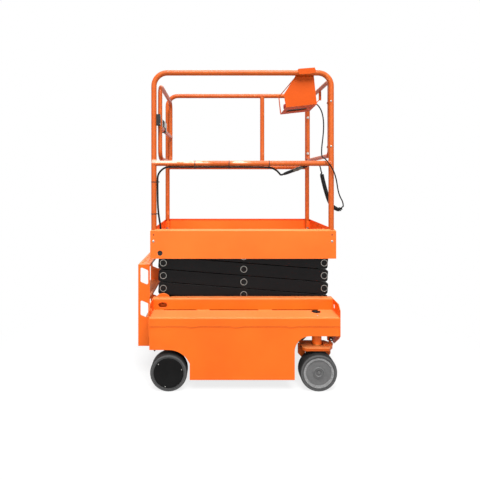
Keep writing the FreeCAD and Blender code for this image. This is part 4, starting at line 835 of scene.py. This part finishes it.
# Scissor pack: box-section steel arms, painted satin black, in four stages. Hollow turned
# shafts join them, bare on their end faces, each kept by a spring ring round its end and
# with a steel web pressed into its bore.
arm_black = Finish("arm_black", 0.42, Specular_IOR_Level=0.16)
arm_edge_highlight = arm_black.soften_edges(0.0022)
# A painted highlight: the edges' mask turns the colour to a paler grey.
arm_tone = arm_black.sum(arm_black.noise(5, 4.0), arm_edge_highlight)
arm_black.set("Base Color", arm_black.ramp(
    arm_tone, (0.3, "0B0B0C"), (0.7, "121213"), (0.98, "151516"), (1.0, "424242")))
arm_black.set("Roughness", arm_black.spread(arm_black.noise(26, 3.0), 0.36, 0.5))
arm_black.bump(arm_black.noise(500, 3.0), 0.00025, 0.6)
dress(arm_black, *["inner_arms_%d" % n for n in range(1, 5)],
      *["outer_arms_%d" % n for n in range(1, 5)])
pin_steel = grained("pin_steel", 0.4, ("7E7E7E", "A4A4A4"), (80, 3.0), (1500,), 0.00005,
                    Metallic=0.85)
dress(orange_coat, "base_pivot_shaft")
dress(pin_steel, "pivot_shafts_1", "pivot_shafts_2", "pivot_shafts_3",
      "pivot_shafts_4", "lower_rollers", "upper_rollers")
ARM_PITCH, STOW_TILT = 1.0839, math.radians(4.51)
PIVOT_X, PIVOT_HIGH = -0.482, 0.5002
STAGE_RISE = ARM_PITCH * math.sin(STOW_TILT)
RIGHT_X = PIVOT_X + ARM_PITCH * math.cos(STOW_TILT)
ARM_FACE, EAR_FACE, INNER_PLANE = 0.188, 0.204, 0.120
PIN_RADIUS, BORE_RADIUS, PIN_PROUD = 0.024, 0.0155, 0.0015
RING_OUT, RING_IN = 0.0226, 0.0190
CROSS_TUBE, RAM_TUBE = 0.195, 0.563


def dress_pin(rings, webs, x, z, face_y):
    """The spring ring and the pressed web at both ends of a hollow shaft."""
    for side in BOTH:
        end = (x, side * (face_y + PIN_PROUD), z)
        rings.turned([(0, RING_OUT), (0.0012, RING_OUT), (0.0018, RING_OUT - 0.0005),
                      (0.0018, RING_IN + 0.0005), (0.0012, RING_IN), (0, RING_IN)], end,
                     (0, side, 0), 32, True)
        webs.turned([(-0.0010, PIN_RADIUS + 0.0004), (0.0003, PIN_RADIUS + 0.0004),
                     (0.0007, PIN_RADIUS - 0.0004), (0.0007, BORE_RADIUS),
                     (-0.0030, BORE_RADIUS - 0.0015), (-0.0030, 0.0062), (-0.0014, 0.0050),
                     (-0.0014, 0)], end, (0, side, 0), 28)


for stage in range(1, 5):
    rings, webs = Fitting(), Fitting()
    high, low = (PIVOT_HIGH + STAGE_RISE * (stage - back) for back in (0, 1))
    left_face = ARM_FACE if stage < 4 else EAR_FACE
    dress_pin(rings, webs, PIVOT_X, high, left_face)
    dress_pin(rings, webs, RIGHT_X, low, ARM_FACE)
    dress_pin(rings, webs, (PIVOT_X + RIGHT_X) / 2, (high + low) / 2, ARM_FACE)
    rings.make("pin_rings_%d" % stage, zinc, "outer_stage_%d" % stage, "pin_steel")
    webs.make("pin_webs_%d" % stage, arm_black, "outer_stage_%d" % stage, "arm_black")
    tube_welds = Fitting()
    base = Vector((PIVOT_X, 0, PIVOT_HIGH + STAGE_RISE * (stage - 1)))
    forward = Vector((math.cos(STOW_TILT), 0, math.sin(STOW_TILT)))
    for reach in (CROSS_TUBE, RAM_TUBE) if stage == 1 else (CROSS_TUBE,):
        for side in BOTH:
            tube_welds.ring_weld(base + forward * reach +
                                 Vector((0, side * (INNER_PLANE - 0.0008), 0)),
                                 (0, 1, 0), 0.0205, 0.0024)
    tube_welds.make("cross_tube_welds_%d" % stage, arm_black, "inner_stage_%d" % stage,
                    "arm_black")


# Rollers: turned steel rollers on the sliding ends, sealed with a rubber-lipped cap, that
# run in the chassis beams below and in the platform's channels above.
ROLLER_OUT = 0.228
for name, body, z in (("lower_roller_caps", "outer_stage_1", PIVOT_HIGH),
                      ("upper_roller_caps", "inner_stage_4", PIVOT_HIGH + 4 * STAGE_RISE)):
    caps = Fitting()
    for side in BOTH:
        caps.turned([(0, 0.017), (0.0010, 0.0165), (0.0014, 0.0145), (0.0008, 0.009),
                     (0.0018, 0.007), (0.0018, 0)], (RIGHT_X, side * ROLLER_OUT, z),
                    (0, side, 0), 28)
    caps.make(name, cable_rubber, body, "cable_black")


# Lift cylinder: a welded black barrel with a turned gland, a chromed rod, and a small valve
# block with its solenoid on the side of the barrel's foot.
dress(arm_black, "cylinder_barrel")
rod_chrome = grained("rod_chrome", 0.12, ("D8DADC", "E6E8EA"), (30,), (1200,), 0.00002,
                     Metallic=1.0)
dress(rod_chrome, "cylinder_rod")
RAM_TILT = math.radians(20.04)
RAM_FOOT = Vector((0.08382, 0, 0.48665))
RAM_LINE = Vector((math.cos(RAM_TILT), 0, math.sin(RAM_TILT)))
RAM_UP = Vector((-RAM_LINE.z, 0, RAM_LINE.x))
BARREL_END, BAND_REACH = 0.3544, 0.30
BLOCK_REACH, COIL_REACH, PORT_REACH = 0.072, 0.084, 0.106
gland, valve, valve_nuts = Fitting(), Fitting(), Fitting()
gland.turned([(0, 0.0305), (0.0015, 0.0305), (0.004, 0.027), (0.0045, 0.0215),
              (0.006, 0.0195), (0.006, 0.0176), (0, 0.0176)],
             RAM_FOOT + RAM_LINE * BARREL_END, RAM_LINE, 36, True)
gland.turned([(0, 0.0315), (0.001, 0.0328), (0.003, 0.0328), (0.004, 0.0315)],
             RAM_FOOT + RAM_LINE * BAND_REACH, RAM_LINE, 36, True)
gland.make("cylinder_gland", cable_rubber, "ram_barrel", "cable_black")
block_corner = RAM_FOOT + RAM_LINE * BLOCK_REACH + Vector((0, 0.028, 0)) - RAM_UP * 0.018
block_place = Matrix.Translation(block_corner) @ Matrix((
    (RAM_LINE.x, 0, RAM_UP.x, 0), (0, 1, 0, 0), (RAM_LINE.z, 0, RAM_UP.z, 0), (0, 0, 0, 1)))
valve.plate([(0, 0), (0.046, 0), (0.046, 0.026), (0, 0.026)], 0.036, block_place, 0.0015)
solenoid_foot = RAM_FOOT + RAM_LINE * COIL_REACH + Vector((0, 0.053, 0))
valve.turned([(0, 0.013), (0.030, 0.013), (0.032, 0.011), (0.032, 0)], solenoid_foot,
             (0, 1, 0), 24)
valve.make("valve_block", motor_enamel, "ram_barrel", "cylinder_black")
valve_nuts.turned([(0.032, 0.0085), (0.039, 0.0085), (0.040, 0.0075), (0.040, 0)],
                  solenoid_foot, (0, 1, 0), 6)
valve_nuts.bolt(RAM_FOOT + RAM_LINE * PORT_REACH + Vector((0, 0.054, 0)), (0, 1, 0), 0.006)
valve_nuts.make("valve_nuts", zinc, "ram_barrel", "pin_steel")


# Platform frame and deck: a welded tray of folded members and roller channels under a
# checker-plate deck, coated with the rest. The raised lozenges of the plate run at right
# angles to each other, and boots have rubbed the coat from their tops.
dress(orange_coat, "platform_frame", "roller_channel_right", "roller_channel_left")
deck_coat = orange_finish("deck_coat", "D9601E", "E66C26", "FF9A50", 0.5,
                          Specular_IOR_Level=0.3)
dress(deck_coat, "platform_deck")
lozenge_coat = Finish("lozenge_coat", 0.4, Metallic=0.35)
lozenge_coat.set("Base Color", lozenge_coat.ramp(
    lozenge_coat.noise(9, 5.0), (0.42, "E06A28"), (0.56, "B0A8A0")))
lozenge_coat.bump(lozenge_coat.noise(900), 0.0001)
DECK_TOP = 0.900
LOZENGE_PITCH, LOZENGE_LONG, LOZENGE_WIDE, LOZENGE_TALL = 0.030, 0.023, 0.0066, 0.0011
DECK_FROM, DECK_TO, DECK_HALF = -0.525, 0.614, 0.312
POST_NOTCH_X, POST_NOTCH_Y = (-0.495, 0.578), 0.276
CABLE_HOLE = (-0.480, -0.294)


def deck_is_clear(x, y):
    """Whether a lozenge fits: not at a post's notch and not at the cable's hole."""
    if abs(y) > POST_NOTCH_Y and not POST_NOTCH_X[0] < x < POST_NOTCH_X[1]:
        return False
    return math.hypot(x - CABLE_HOLE[0], y - CABLE_HOLE[1]) > 0.024


lozenges = Fitting()
rows = int((DECK_TO - DECK_FROM) / LOZENGE_PITCH)
columns = int(2 * DECK_HALF / LOZENGE_PITCH)
for row in range(rows + 1):
    for column in range(columns + 1):
        x = DECK_FROM + row * LOZENGE_PITCH
        y = -DECK_HALF + column * LOZENGE_PITCH
        if not deck_is_clear(x, y):
            continue
        turn = math.pi / 4 if (row + column) % 2 else -math.pi / 4
        forward = Vector((math.cos(turn), math.sin(turn), 0))
        sideways = Vector((-forward.y, forward.x, 0))
        middle = Vector((x, y, DECK_TOP - 0.0001))
        outline = ((-0.5, 0), (-0.22, -0.5), (0.22, -0.5), (0.5, 0), (0.22, 0.5), (-0.22, 0.5))
        ring = [middle + forward * LOZENGE_LONG * u + sideways * LOZENGE_WIDE * v
                for u, v in outline]
        ridge = [middle + forward * LOZENGE_LONG * u + Vector((0, 0, LOZENGE_TALL))
                 for u in (-0.26, 0.26)]
        lozenges.add(ring + ridge, [(0, 1, 6), (1, 2, 7, 6), (2, 3, 7), (3, 4, 7),
                                    (4, 5, 6, 7), (5, 0, 6)])
lozenges.make("deck_lozenges", lozenge_coat, "platform", "deck_steel", 12)


# Toe boards: folded plate round the deck, seam welded at the corners, that closes the
# platform's foot. Zinc bolts with round heads go through it and through each post's foot
# into a bracket inside. Black discs paint the shade in the spare bolt holes and behind the
# hole at the rear.
toe_coat = orange_finish("toe_coat", "F2691C", "FA7424", "FFA060", 0.42,
                         Specular_IOR_Level=0.3)
dress(toe_coat, "toe_boards")
DECK_BACK, DECK_FRONT, DECK_OUT = -0.5435, 0.6325, 0.330
TOE_LOW, TOE_LEAN = 0.814, 0.990
POST_XS, POST_OUT, POST_RADIUS = (-0.5235, 0.607), 0.310, 0.017
FOOT_BOLT_HIGH, BRACKET_FACE = 0.9245, 0.2897
SPARE_HOLE_HIGH, SPARE_HOLE_RADIUS = 0.967, 0.0034
DRAIN_HOLE, DRAIN_RADIUS, TOE_INNER = (-0.480, 0.8495), 0.0175, 0.3262
toe_seams, toe_bolts, toe_hole_shades = Fitting(), Fitting(), Fitting()
for side in BOTH:
    for x in (DECK_BACK + 0.0004, DECK_FRONT - 0.0004):
        toe_seams.weld([(x, side * (DECK_OUT - 0.0004), TOE_LOW + 0.002),
                        (x, side * (DECK_OUT - 0.0004), TOE_LEAN - 0.002)], 0.0010)
    for x in POST_XS:
        toe_bolts.dome((x, side * DECK_OUT, FOOT_BOLT_HIGH), (0, side, 0), 0.0085, 0.005)
        toe_bolts.bolt((x, side * BRACKET_FACE, FOOT_BOLT_HIGH), (0, -side, 0), 0.0085)
        # Thin black discs paint the shade in the spare bolt holes.
        toe_hole_shades.turned([(0, SPARE_HOLE_RADIUS), (0.0003, SPARE_HOLE_RADIUS - 0.0003),
                          (0.0003, 0)], (x, side * DECK_OUT, SPARE_HOLE_HIGH), (0, side, 0), 14)
    # A black disc behind the rear hole paints its shade.
    toe_hole_shades.turned([(-0.004, 0.0), (-0.004, DRAIN_RADIUS), (0, DRAIN_RADIUS),
                      (0, DRAIN_RADIUS - 0.004), (-0.002, DRAIN_RADIUS - 0.005), (-0.002, 0)],
                     (DRAIN_HOLE[0], side * TOE_INNER, DRAIN_HOLE[1]), (0, side, 0), 28)
toe_seams.make("toe_board_seams", toe_coat, "platform", "orange_paint")
toe_bolts.make("toe_board_bolts", zinc, "platform", "pin_steel")
toe_hole_shades.make("toe_board_hole_shades", black_plastic, "platform", "box_black")


# Guardrails: round steel tube, bent over at the top of each side, with middle rails coped
# and welded to the posts. Their coat is a shade deeper, glossy and scuffed pale, with a
# painted glare on top of the middle rails' rear half and a painted highlight on its edges.
MID_HIGH, RAIL_HIGH, STAY_X = 1.418, 1.995, 0.243


def rail_finish():
    """The rails' coat: scuffed, with a painted glare palest on top of the middle rails' rear half.
    """
    coat = Finish("rail_coat", 0.34, Specular_IOR_Level=0.3)
    edges = coat.soften_edges(0.0012)
    drift = coat.noise(5, 3.0)
    scuffs_and_glare = coat.spread(coat.noise(26, 8.0, (1.0, 1.0, 0.6)), 0.0, 0.7, 0.64, 0.78)
    place = coat.node("SeparateXYZ", {"Vector": coat.place}).outputs
    # Painted glare: pale patches on the upper half of the middle rails, over their rear half.
    above_mid = coat.sum(coat.spread(place["Z"], 0, 1, MID_HIGH - 0.006, MID_HIGH + 0.004),
                         coat.spread(place["Z"], 1, 0, MID_HIGH + 0.02, MID_HIGH + 0.03),
                         "MULTIPLY")
    mid_rail_glare = coat.sum(above_mid, coat.spread(place["X"], 1, 0, 0.04, 0.14), "MULTIPLY")
    scuffs_and_glare = coat.sum(scuffs_and_glare, coat.sum(mid_rail_glare, coat.spread(
        coat.noise(14, 6.0, (0.5, 1.0, 1.0)), 0.0, 0.8, 0.40, 0.52), "MULTIPLY"), "MAXIMUM")
    # The edges' mask adds a painted highlight.
    tone = coat.sum(coat.sum(coat.sum(drift, 0.6, "MULTIPLY"), scuffs_and_glare), edges)
    coat.set("Base Color", coat.ramp(
        tone, (0.15, "BE5114"), (0.5, "CE611C"), (0.9, "DC8E62"), (1.0, "F4C0A8")))
    coat.set("Roughness", coat.spread(coat.noise(60, 3.0), 0.28, 0.42))
    coat.bump(coat.noise(700), 0.0002, 0.6)
    return coat


rail_coat = rail_finish()
dress(rail_coat, "guardrail_right", "guardrail_left")


def saddle(centre, along, about, tube, host):
    """The line where a tube that runs along one axis meets a host tube about another."""
    along, about = Vector(along), Vector(about)
    across = along.cross(about)
    steps = 36
    line = []
    for i in range(steps):
        angle = 2 * math.pi * i / steps
        level, sideways = tube * math.cos(angle), tube * math.sin(angle)
        reach = math.sqrt(max(0.0, host * host - sideways * sideways))
        line.append(Vector(centre) + along * reach + about * level + across * sideways)
    return line


rail_welds = Fitting()
for side in BOTH:
    for x, way in ((POST_XS[0], 1), (POST_XS[1], -1)):
        rail_welds.weld(saddle((x, side * POST_OUT, MID_HIGH), (way, 0, 0), (0, 0, 1),
                               POST_RADIUS, POST_RADIUS), 0.0024, True)
    for x in POST_XS:
        rail_welds.ring_weld((x, side * POST_OUT, 0.9003), (0, 0, 1), POST_RADIUS + 0.0008)
for z, way in ((MID_HIGH, 1), (RAIL_HIGH, -1)):
    rail_welds.weld(saddle((STAY_X, POST_OUT, z), (0, 0, way), (1, 0, 0), POST_RADIUS,
                           POST_RADIUS), 0.0024, True)
rail_welds.make("guardrail_welds", rail_coat, "platform", "orange_paint")


# Front guard: a hoop of slimmer tube between the two front posts. Four zinc bolts, each
# right through a post and the hoop, hold it.
dress(rail_coat, "front_guard")
GUARD_BOLT_X, GUARD_BOLT_HEIGHTS = 0.602, (1.812, 1.526)
HOOP_IN = 0.2651
guard_bolts = Fitting()
for side in BOTH:
    for z in GUARD_BOLT_HEIGHTS:
        guard_bolts.dome((GUARD_BOLT_X, side * (POST_OUT + POST_RADIUS - 0.0012), z),
                         (0, side, 0), 0.0066, 0.0046)
        guard_bolts.bolt((GUARD_BOLT_X, side * HOOP_IN, z), (0, -side, 0), 0.0075)
guard_bolts.make("front_guard_bolts", zinc, "platform", "pin_steel")


# Entry gate: a bent tube frame with a cross bar, on two pin hinges whose springs pull it
# shut. A flat zinc plate stands on the bar. Its tongue runs into the black latch on the
# other post, and a black hand lever draws it back.
dress(rail_coat, "entry_gate", "gate_hinges")
dress(black_plastic, "gate_latch")
GATE_X, GATE_HALF, GATE_BAR = -0.4915, 0.262, 1.655
GATE_TUBE, LEVER_Y = 0.014, -0.124
PLATE_YS, TONGUE_YS, TONGUE_HEIGHTS = (-0.2495, 0.024), (-0.2962, -0.270), (1.686, 1.706)
LATCH_FACE, LATCH_SCREW_YS, LATCH_SCREW_HEIGHTS = -0.4822, (-0.316, -0.304), (1.668, 1.721)
HINGE_Y, HINGE_HEIGHTS, HINGE_HALF = 0.285, (1.600, 1.800), 0.012
SPRING_RADIUS, COIL_PITCH = 0.0083, 0.0042
spring_black = grained("spring_black", 0.4, ("1A1614", "302A26"), (60,), (900,), 0.0001,
                       Specular_IOR_Level=0.4)


def coils(fitting, low, high, radius):
    """Close spring coils round the hinge pin."""
    turns = (high - low) / COIL_PITCH
    count = round(turns * 14)
    wire = COIL_PITCH * 0.46
    fitting.swept([(GATE_X + (radius - wire) * math.cos(2 * math.pi * turns * i / count),
                    HINGE_Y + (radius - wire) * math.sin(2 * math.pi * turns * i / count),
                    low + (high - low) * i / count) for i in range(count + 1)],
                  [wire] * (count + 1), 6)


fixed_springs, gate_springs = Fitting(), Fitting()
for height in HINGE_HEIGHTS:
    coils(fixed_springs, height - 0.048, height - HINGE_HALF - 0.0075, SPRING_RADIUS)
    fixed_springs.turned([(0, 0), (0, 0.0045), (0.034, 0.0045), (0.034, 0)],
                         (GATE_X, HINGE_Y, height - 0.0505), (0, 0, 1), 12)
    coils(gate_springs, height + HINGE_HALF + 0.0022, height + 0.036, SPRING_RADIUS)
    gate_springs.turned([(0, 0.0096), (0.0012, 0.0104), (0.0228, 0.0104), (0.024, 0.0096)],
                        (GATE_X, HINGE_Y, height - HINGE_HALF), (0, 0, 1), 20)
    gate_springs.turned([(0, 0.0044), (0.003, 0.0044), (0.004, 0.003), (0.004, 0)],
                        (GATE_X, HINGE_Y, height + 0.0355), (0, 0, 1), 12)
fixed_springs.make("gate_springs_fixed", spring_black, "platform", "box_black")
gate_springs.make("gate_springs_turning", spring_black, "gate", "box_black")
gate_lever, gate_tongue, gate_welds, latch_screws = Fitting(), Fitting(), Fitting(), Fitting()
gate_lever.block((GATE_X - 0.0165, LEVER_Y - 0.018, GATE_BAR - 0.017),
                 (GATE_X + 0.0165, LEVER_Y + 0.018, GATE_BAR + 0.017), 0.003)
gate_lever.plate([(-0.005, 0), (0.005, 0), (0.007, 0.046), (0.003, 0.052), (-0.003, 0.052),
                  (-0.007, 0.046)], 0.030,
                 Matrix.Translation((GATE_X, LEVER_Y + 0.015, GATE_BAR + 0.015)) @ TURNED_UP,
                 0.002)
gate_lever.make("gate_lever", black_plastic, "gate", "box_black")
gate_tongue.block((GATE_X - 0.0015, PLATE_YS[0], GATE_BAR + 0.012),
                  (GATE_X + 0.0015, PLATE_YS[1], GATE_BAR + 0.070), 0.0006)
gate_tongue.block((GATE_X - 0.003, TONGUE_YS[0], TONGUE_HEIGHTS[0]),
                  (GATE_X + 0.003, TONGUE_YS[1], TONGUE_HEIGHTS[1]), 0.0008)
gate_tongue.make("gate_tongue", zinc, "gate", "pin_steel")
for side in BOTH:
    gate_welds.weld(saddle((GATE_X, side * GATE_HALF, GATE_BAR), (0, -side, 0), (0, 0, 1),
                           GATE_TUBE, GATE_TUBE), 0.002, True)
gate_welds.make("gate_welds", rail_coat, "gate", "orange_paint")
for z in LATCH_SCREW_HEIGHTS:
    for y in LATCH_SCREW_YS:
        latch_screws.dome((LATCH_FACE, y, z), (1, 0, 0), 0.0032, 0.0016)
latch_screws.make("latch_screws", zinc, "platform", "pin_steel")


# Control guard: a folded sheet cradle that hooks over the top rail, with bars of square
# section. It is coated orange like the toe boards, in a darker copy of their coat that
# paints shade, and a bolt holds its bars.
guard_shaded_coat = orange_finish("guard_shaded_coat", "C44A06", "D05208", "EC8444", 0.5,
                           Specular_IOR_Level=0.15)
dress(guard_shaded_coat, "control_guard")
HANGER_BOLT = (0.607, -0.0547, 1.905)
guard_bolt = Fitting()
guard_bolt.bolt(HANGER_BOLT, (0, 1, 0), 0.006)
guard_bolt.make("control_guard_bolts", zinc, "platform", "pin_steel")


# Control box: a moulded black case with two sloping faces. The long one has the drive stick
# in its rubber bellows, the short one a key switch, two push buttons and a bare panel, and
# the rear wall a red stop button. The lead leaves by a gland and a strain relief.
dress(black_plastic, "control_box")
BOX_NEAR_Y, BOX_FAR_Y, FAR_DROP = -0.2867, -0.1507, 0.010
BOX_REAR, STOP_PLACE = 0.345, (-0.200, 1.803)
RIDGE, REAR_EAVE, FRONT_EAVE = (0.400, 1.9253), (0.345, 1.8803), (0.490, 1.8803)
SWITCH_U, SWITCH_VS, KEY_V = -0.004, (-0.036, -0.006, 0.022), 0.022
STICK_V = -0.030


def roof(eave, ridge, flip):
    """The place of a sloping face: its middle, X up the slope, Y across, Z out of it."""
    low = Vector((eave[0], BOX_NEAR_Y, eave[1]))
    high = Vector((ridge[0], BOX_NEAR_Y, ridge[1]))
    far = Vector((eave[0], BOX_FAR_Y, eave[1] - FAR_DROP))
    up = (high - low).normalized()
    across = (far - low).normalized() * flip
    out = up.cross(across).normalized()
    across = out.cross(up)
    middle = (high + far) / 2
    turn = Matrix((up, across, out)).transposed().to_4x4()
    return Matrix.Translation(middle) @ turn


long_face = roof(FRONT_EAVE, RIDGE, -1)
short_face = roof(REAR_EAVE, RIDGE, 1)


def oblong(length, width):
    """A rectangle's outline about its middle."""
    u, v = length / 2, width / 2
    return [(-u, -v), (u, -v), (u, v), (-u, v)]


def on_face(face, u, v):
    """A point of a sloping face, and the way out of it."""
    return face @ Vector((u, v, 0)), face.to_3x3() @ Vector((0, 0, 1))


bellows, stick, stop_button, panel = Fitting(), Fitting(), Fitting(), Fitting()
foot, out = on_face(long_face, 0.0, STICK_V)
bellows.turned([(0, 0.025), (0.002, 0.026), (0.004, 0.022), (0.007, 0.0225), (0.009, 0.018),
                (0.012, 0.0185), (0.014, 0.0145), (0.017, 0.0148), (0.019, 0.011),
                (0.024, 0.008), (0.026, 0)], foot, out, 32)
stick.turned([(0.024, 0.0065), (0.036, 0.0065), (0.040, 0.012), (0.052, 0.0145),
              (0.064, 0.0125), (0.069, 0.007), (0.070, 0)], foot, out, 28)
foot, out = Vector((BOX_REAR, *STOP_PLACE)), (-1, 0, 0)
stop_button.turned([(0.006, 0.009), (0.009, 0.009), (0.010, 0.0165), (0.013, 0.0185),
                    (0.018, 0.018), (0.021, 0.014), (0.0222, 0.007), (0.0224, 0)],
                   foot, out, 36)
panel.turned([(0, 0.021), (0.002, 0.021), (0.003, 0.0195), (0.003, 0.012), (0.007, 0.011),
              (0.007, 0)], foot, out, 36)
bellows.make("stick_bellows", cable_rubber, "platform", "box_black")
stick.make("drive_stick", black_plastic, "platform", "box_black")
stop_red = grained("stop_red", 0.3, ("B81410", "C81C16"), (30,), (900,), 0.00004)
stop_button.make("stop_button", stop_red, "platform", "box_black")
panel_grey = grained("panel_grey", 0.5, ("5C5E60", "66686A"), (40, 3.0), (1000,), 0.0001)
panel.plate(oblong(0.052, 0.112), 0.0012, short_face, 0.0004)
panel.make("box_panels", panel_grey, "platform", "box_black")
switches, switch_rings = Fitting(), Fitting()
for v in SWITCH_VS:
    foot, out = on_face(short_face, SWITCH_U, v)
    switch_rings.turned([(0.0012, 0.0105), (0.0032, 0.0105), (0.0042, 0.0095),
                         (0.0042, 0.0072), (0.0012, 0.0072)], foot, out, 28, True)
    switches.turned([(0.001, 0.0070), (0.0052, 0.0068), (0.006, 0.0058), (0.006, 0)],
                    foot, out, 24)
key_foot, out = on_face(short_face, SWITCH_U, KEY_V)
turn = short_face.to_3x3().to_4x4()
switches.plate(oblong(0.002, 0.012), 0.022, Matrix.Translation(key_foot) @ turn, 0.0003)
switches.make("push_buttons", black_plastic, "platform", "box_black")
switch_rings.make("switch_rings", zinc, "platform", "pin_steel")
box_screws = Fitting()
for face, half_u, half_v in ((long_face, 0.042, 0.060), (short_face, 0.028, 0.060)):
    for u in (-half_u, half_u):
        for v in (-half_v, half_v):
            foot, out = on_face(face, u, v)
            box_screws.dome(foot, out, 0.0030, 0.0014)
box_screws.make("box_screws", zinc, "platform", "pin_steel")
lead_relief = Fitting()
exit_point = Vector(UPPER_ROUTE[0])
lead_relief.turned([(-0.004, 0.0115), (0.004, 0.0115), (0.005, 0.010), (0.010, 0.0098),
                    (0.011, 0.0072), (0.030, 0.0062), (0.031, 0.0042)], exit_point,
                   (1, 0, 0), 20)
lead_relief.make("lead_relief", cable_rubber, "platform", "cable_black")


# Platform cable: a thick rubber cable up from the chassis, strapped with black nylon ties to
# the rear post and under the middle rail. Each tie is a band with a small square head.
dress(cable_rubber, "platform_cable")
CABLE_RADIUS = 0.006
CABLE_X, CABLE_Z = -0.5001, 1.3947
TIE_XS, TIE_HEIGHTS = (-0.2615, -0.0446, 0.2105), (1.299, 1.0963)
TIE_WIDE, TIE_THICK = 0.0046, 0.0011
HEAD_LONG, HEAD_WIDE, HEAD_TALL = 0.0080, 0.0064, 0.0048


def tie_band(fitting, big, small, axis, big_radius, small_radius):
    """A band round two touching round bars, which share an axis."""
    axis, big, small = Vector(axis), Vector(big), Vector(small)
    toward = (small - big).normalized()
    across = axis.cross(toward)
    gap = (small - big).length
    lean = math.acos((big_radius - small_radius) / gap)
    spots = []
    for centre, radius, start, end in ((big, big_radius, lean, 2 * math.pi - lean),
                                       (small, small_radius, -lean, lean)):
        for i in range(13):
            angle = start + (end - start) * i / 12
            spots.append((centre, radius, toward * math.cos(angle) + across * math.sin(angle)))
    points = []
    for centre, radius, outward in spots:
        for lift, shift in ((0, -1), (TIE_THICK, -1), (TIE_THICK, 1), (0, 1)):
            points.append(centre + outward * (radius + lift) + axis * shift * TIE_WIDE / 2)
    count = len(spots)
    faces = [(4 * i + k, 4 * i + (k + 1) % 4, 4 * ((i + 1) % count) + (k + 1) % 4,
              4 * ((i + 1) % count) + k) for i in range(count) for k in range(4)]
    fitting.add(points, faces)
    head = small + toward * (small_radius + TIE_THICK)
    u_line, v_line = (across, axis) if across.cross(axis).dot(toward) > 0 else (axis, across)
    turn = Matrix((u_line, v_line, u_line.cross(v_line))).transposed().to_4x4()
    fitting.plate(oblong(HEAD_LONG, HEAD_WIDE), HEAD_TALL, Matrix.Translation(head) @ turn,
                  0.0006)


cable_ties = Fitting()
for x in TIE_XS:
    tie_band(cable_ties, (x, -POST_OUT, MID_HIGH), (x, -POST_OUT, CABLE_Z), (1, 0, 0),
             POST_RADIUS, CABLE_RADIUS)
for z in TIE_HEIGHTS:
    tie_band(cable_ties, (POST_XS[0], -POST_OUT, z), (CABLE_X, -POST_OUT, z), (0, 0, 1),
             POST_RADIUS, CABLE_RADIUS)
cable_ties.make("cable_ties", black_plastic, "platform", "cable_black")
deck_grommet = Fitting()
deck_grommet.turned([(0, 0.0145), (0.0022, 0.0140), (0.0034, 0.0115), (0.0030, 0.0085),
                     (-0.002, 0.0066)], (*CABLE_HOLE, DECK_TOP), (0, 0, 1), 28)
deck_grommet.make("deck_grommet", cable_rubber, "platform", "cable_black")


# Connector: a round two-part plug of grey moulded plastic between ribbed black sleeves,
# slung under the middle rail where the cable meets the control lead.
connector_grey = grained("connector_grey", 0.5, ("5E574E", "6E665C"), (60, 3.0), (800,),
                         0.0001, edge=0.0008)
dress(connector_grey, "cable_connector")
PLUG_START, PLUG_END = Vector((0.311, -0.281, 1.3506)), Vector((0.491, -0.281, 1.4176))
plug_line = (PLUG_END - PLUG_START).normalized()
sleeves, plug_ribs = Fitting(), Fitting()
sleeves.turned([(0.000, 0.0062), (0.001, 0.0082), (0.018, 0.0100), (0.060, 0.0100),
                (0.0615, 0.0090)], PLUG_START, plug_line, 28)
sleeves.turned([(0.1275, 0.0096), (0.1290, 0.0106), (0.150, 0.0106), (0.172, 0.0090),
                (0.1915, 0.0068), (0.1925, 0.0042)], PLUG_START, plug_line, 28)
for i in range(7):
    sleeves.turned([(0, 0.0098), (0.0008, 0.0108), (0.0020, 0.0108), (0.0028, 0.0098)],
                   PLUG_START + plug_line * (0.022 + 0.0054 * i), plug_line, 28, True)
for i in range(5):
    sleeves.turned([(0, 0.0100), (0.0008, 0.0115), (0.0020, 0.0115), (0.0028, 0.0100)],
                   PLUG_START + plug_line * (0.131 + 0.0050 * i), plug_line, 28, True)
sleeves.make("connector_sleeves", cable_rubber, "platform", "cable_black")
for reach, proud in ((0.064, 0.0014), (0.088, 0.0020), (0.094, 0.0020), (0.122, 0.0014)):
    plug_ribs.turned([(0, 0.0108), (0.0006, 0.011 + proud), (0.0034, 0.011 + proud),
                      (0.0040, 0.0108)], PLUG_START + plug_line * reach, plug_line, 28, True)
plug_ribs.make("connector_collars", connector_grey, "platform", "connector_grey")
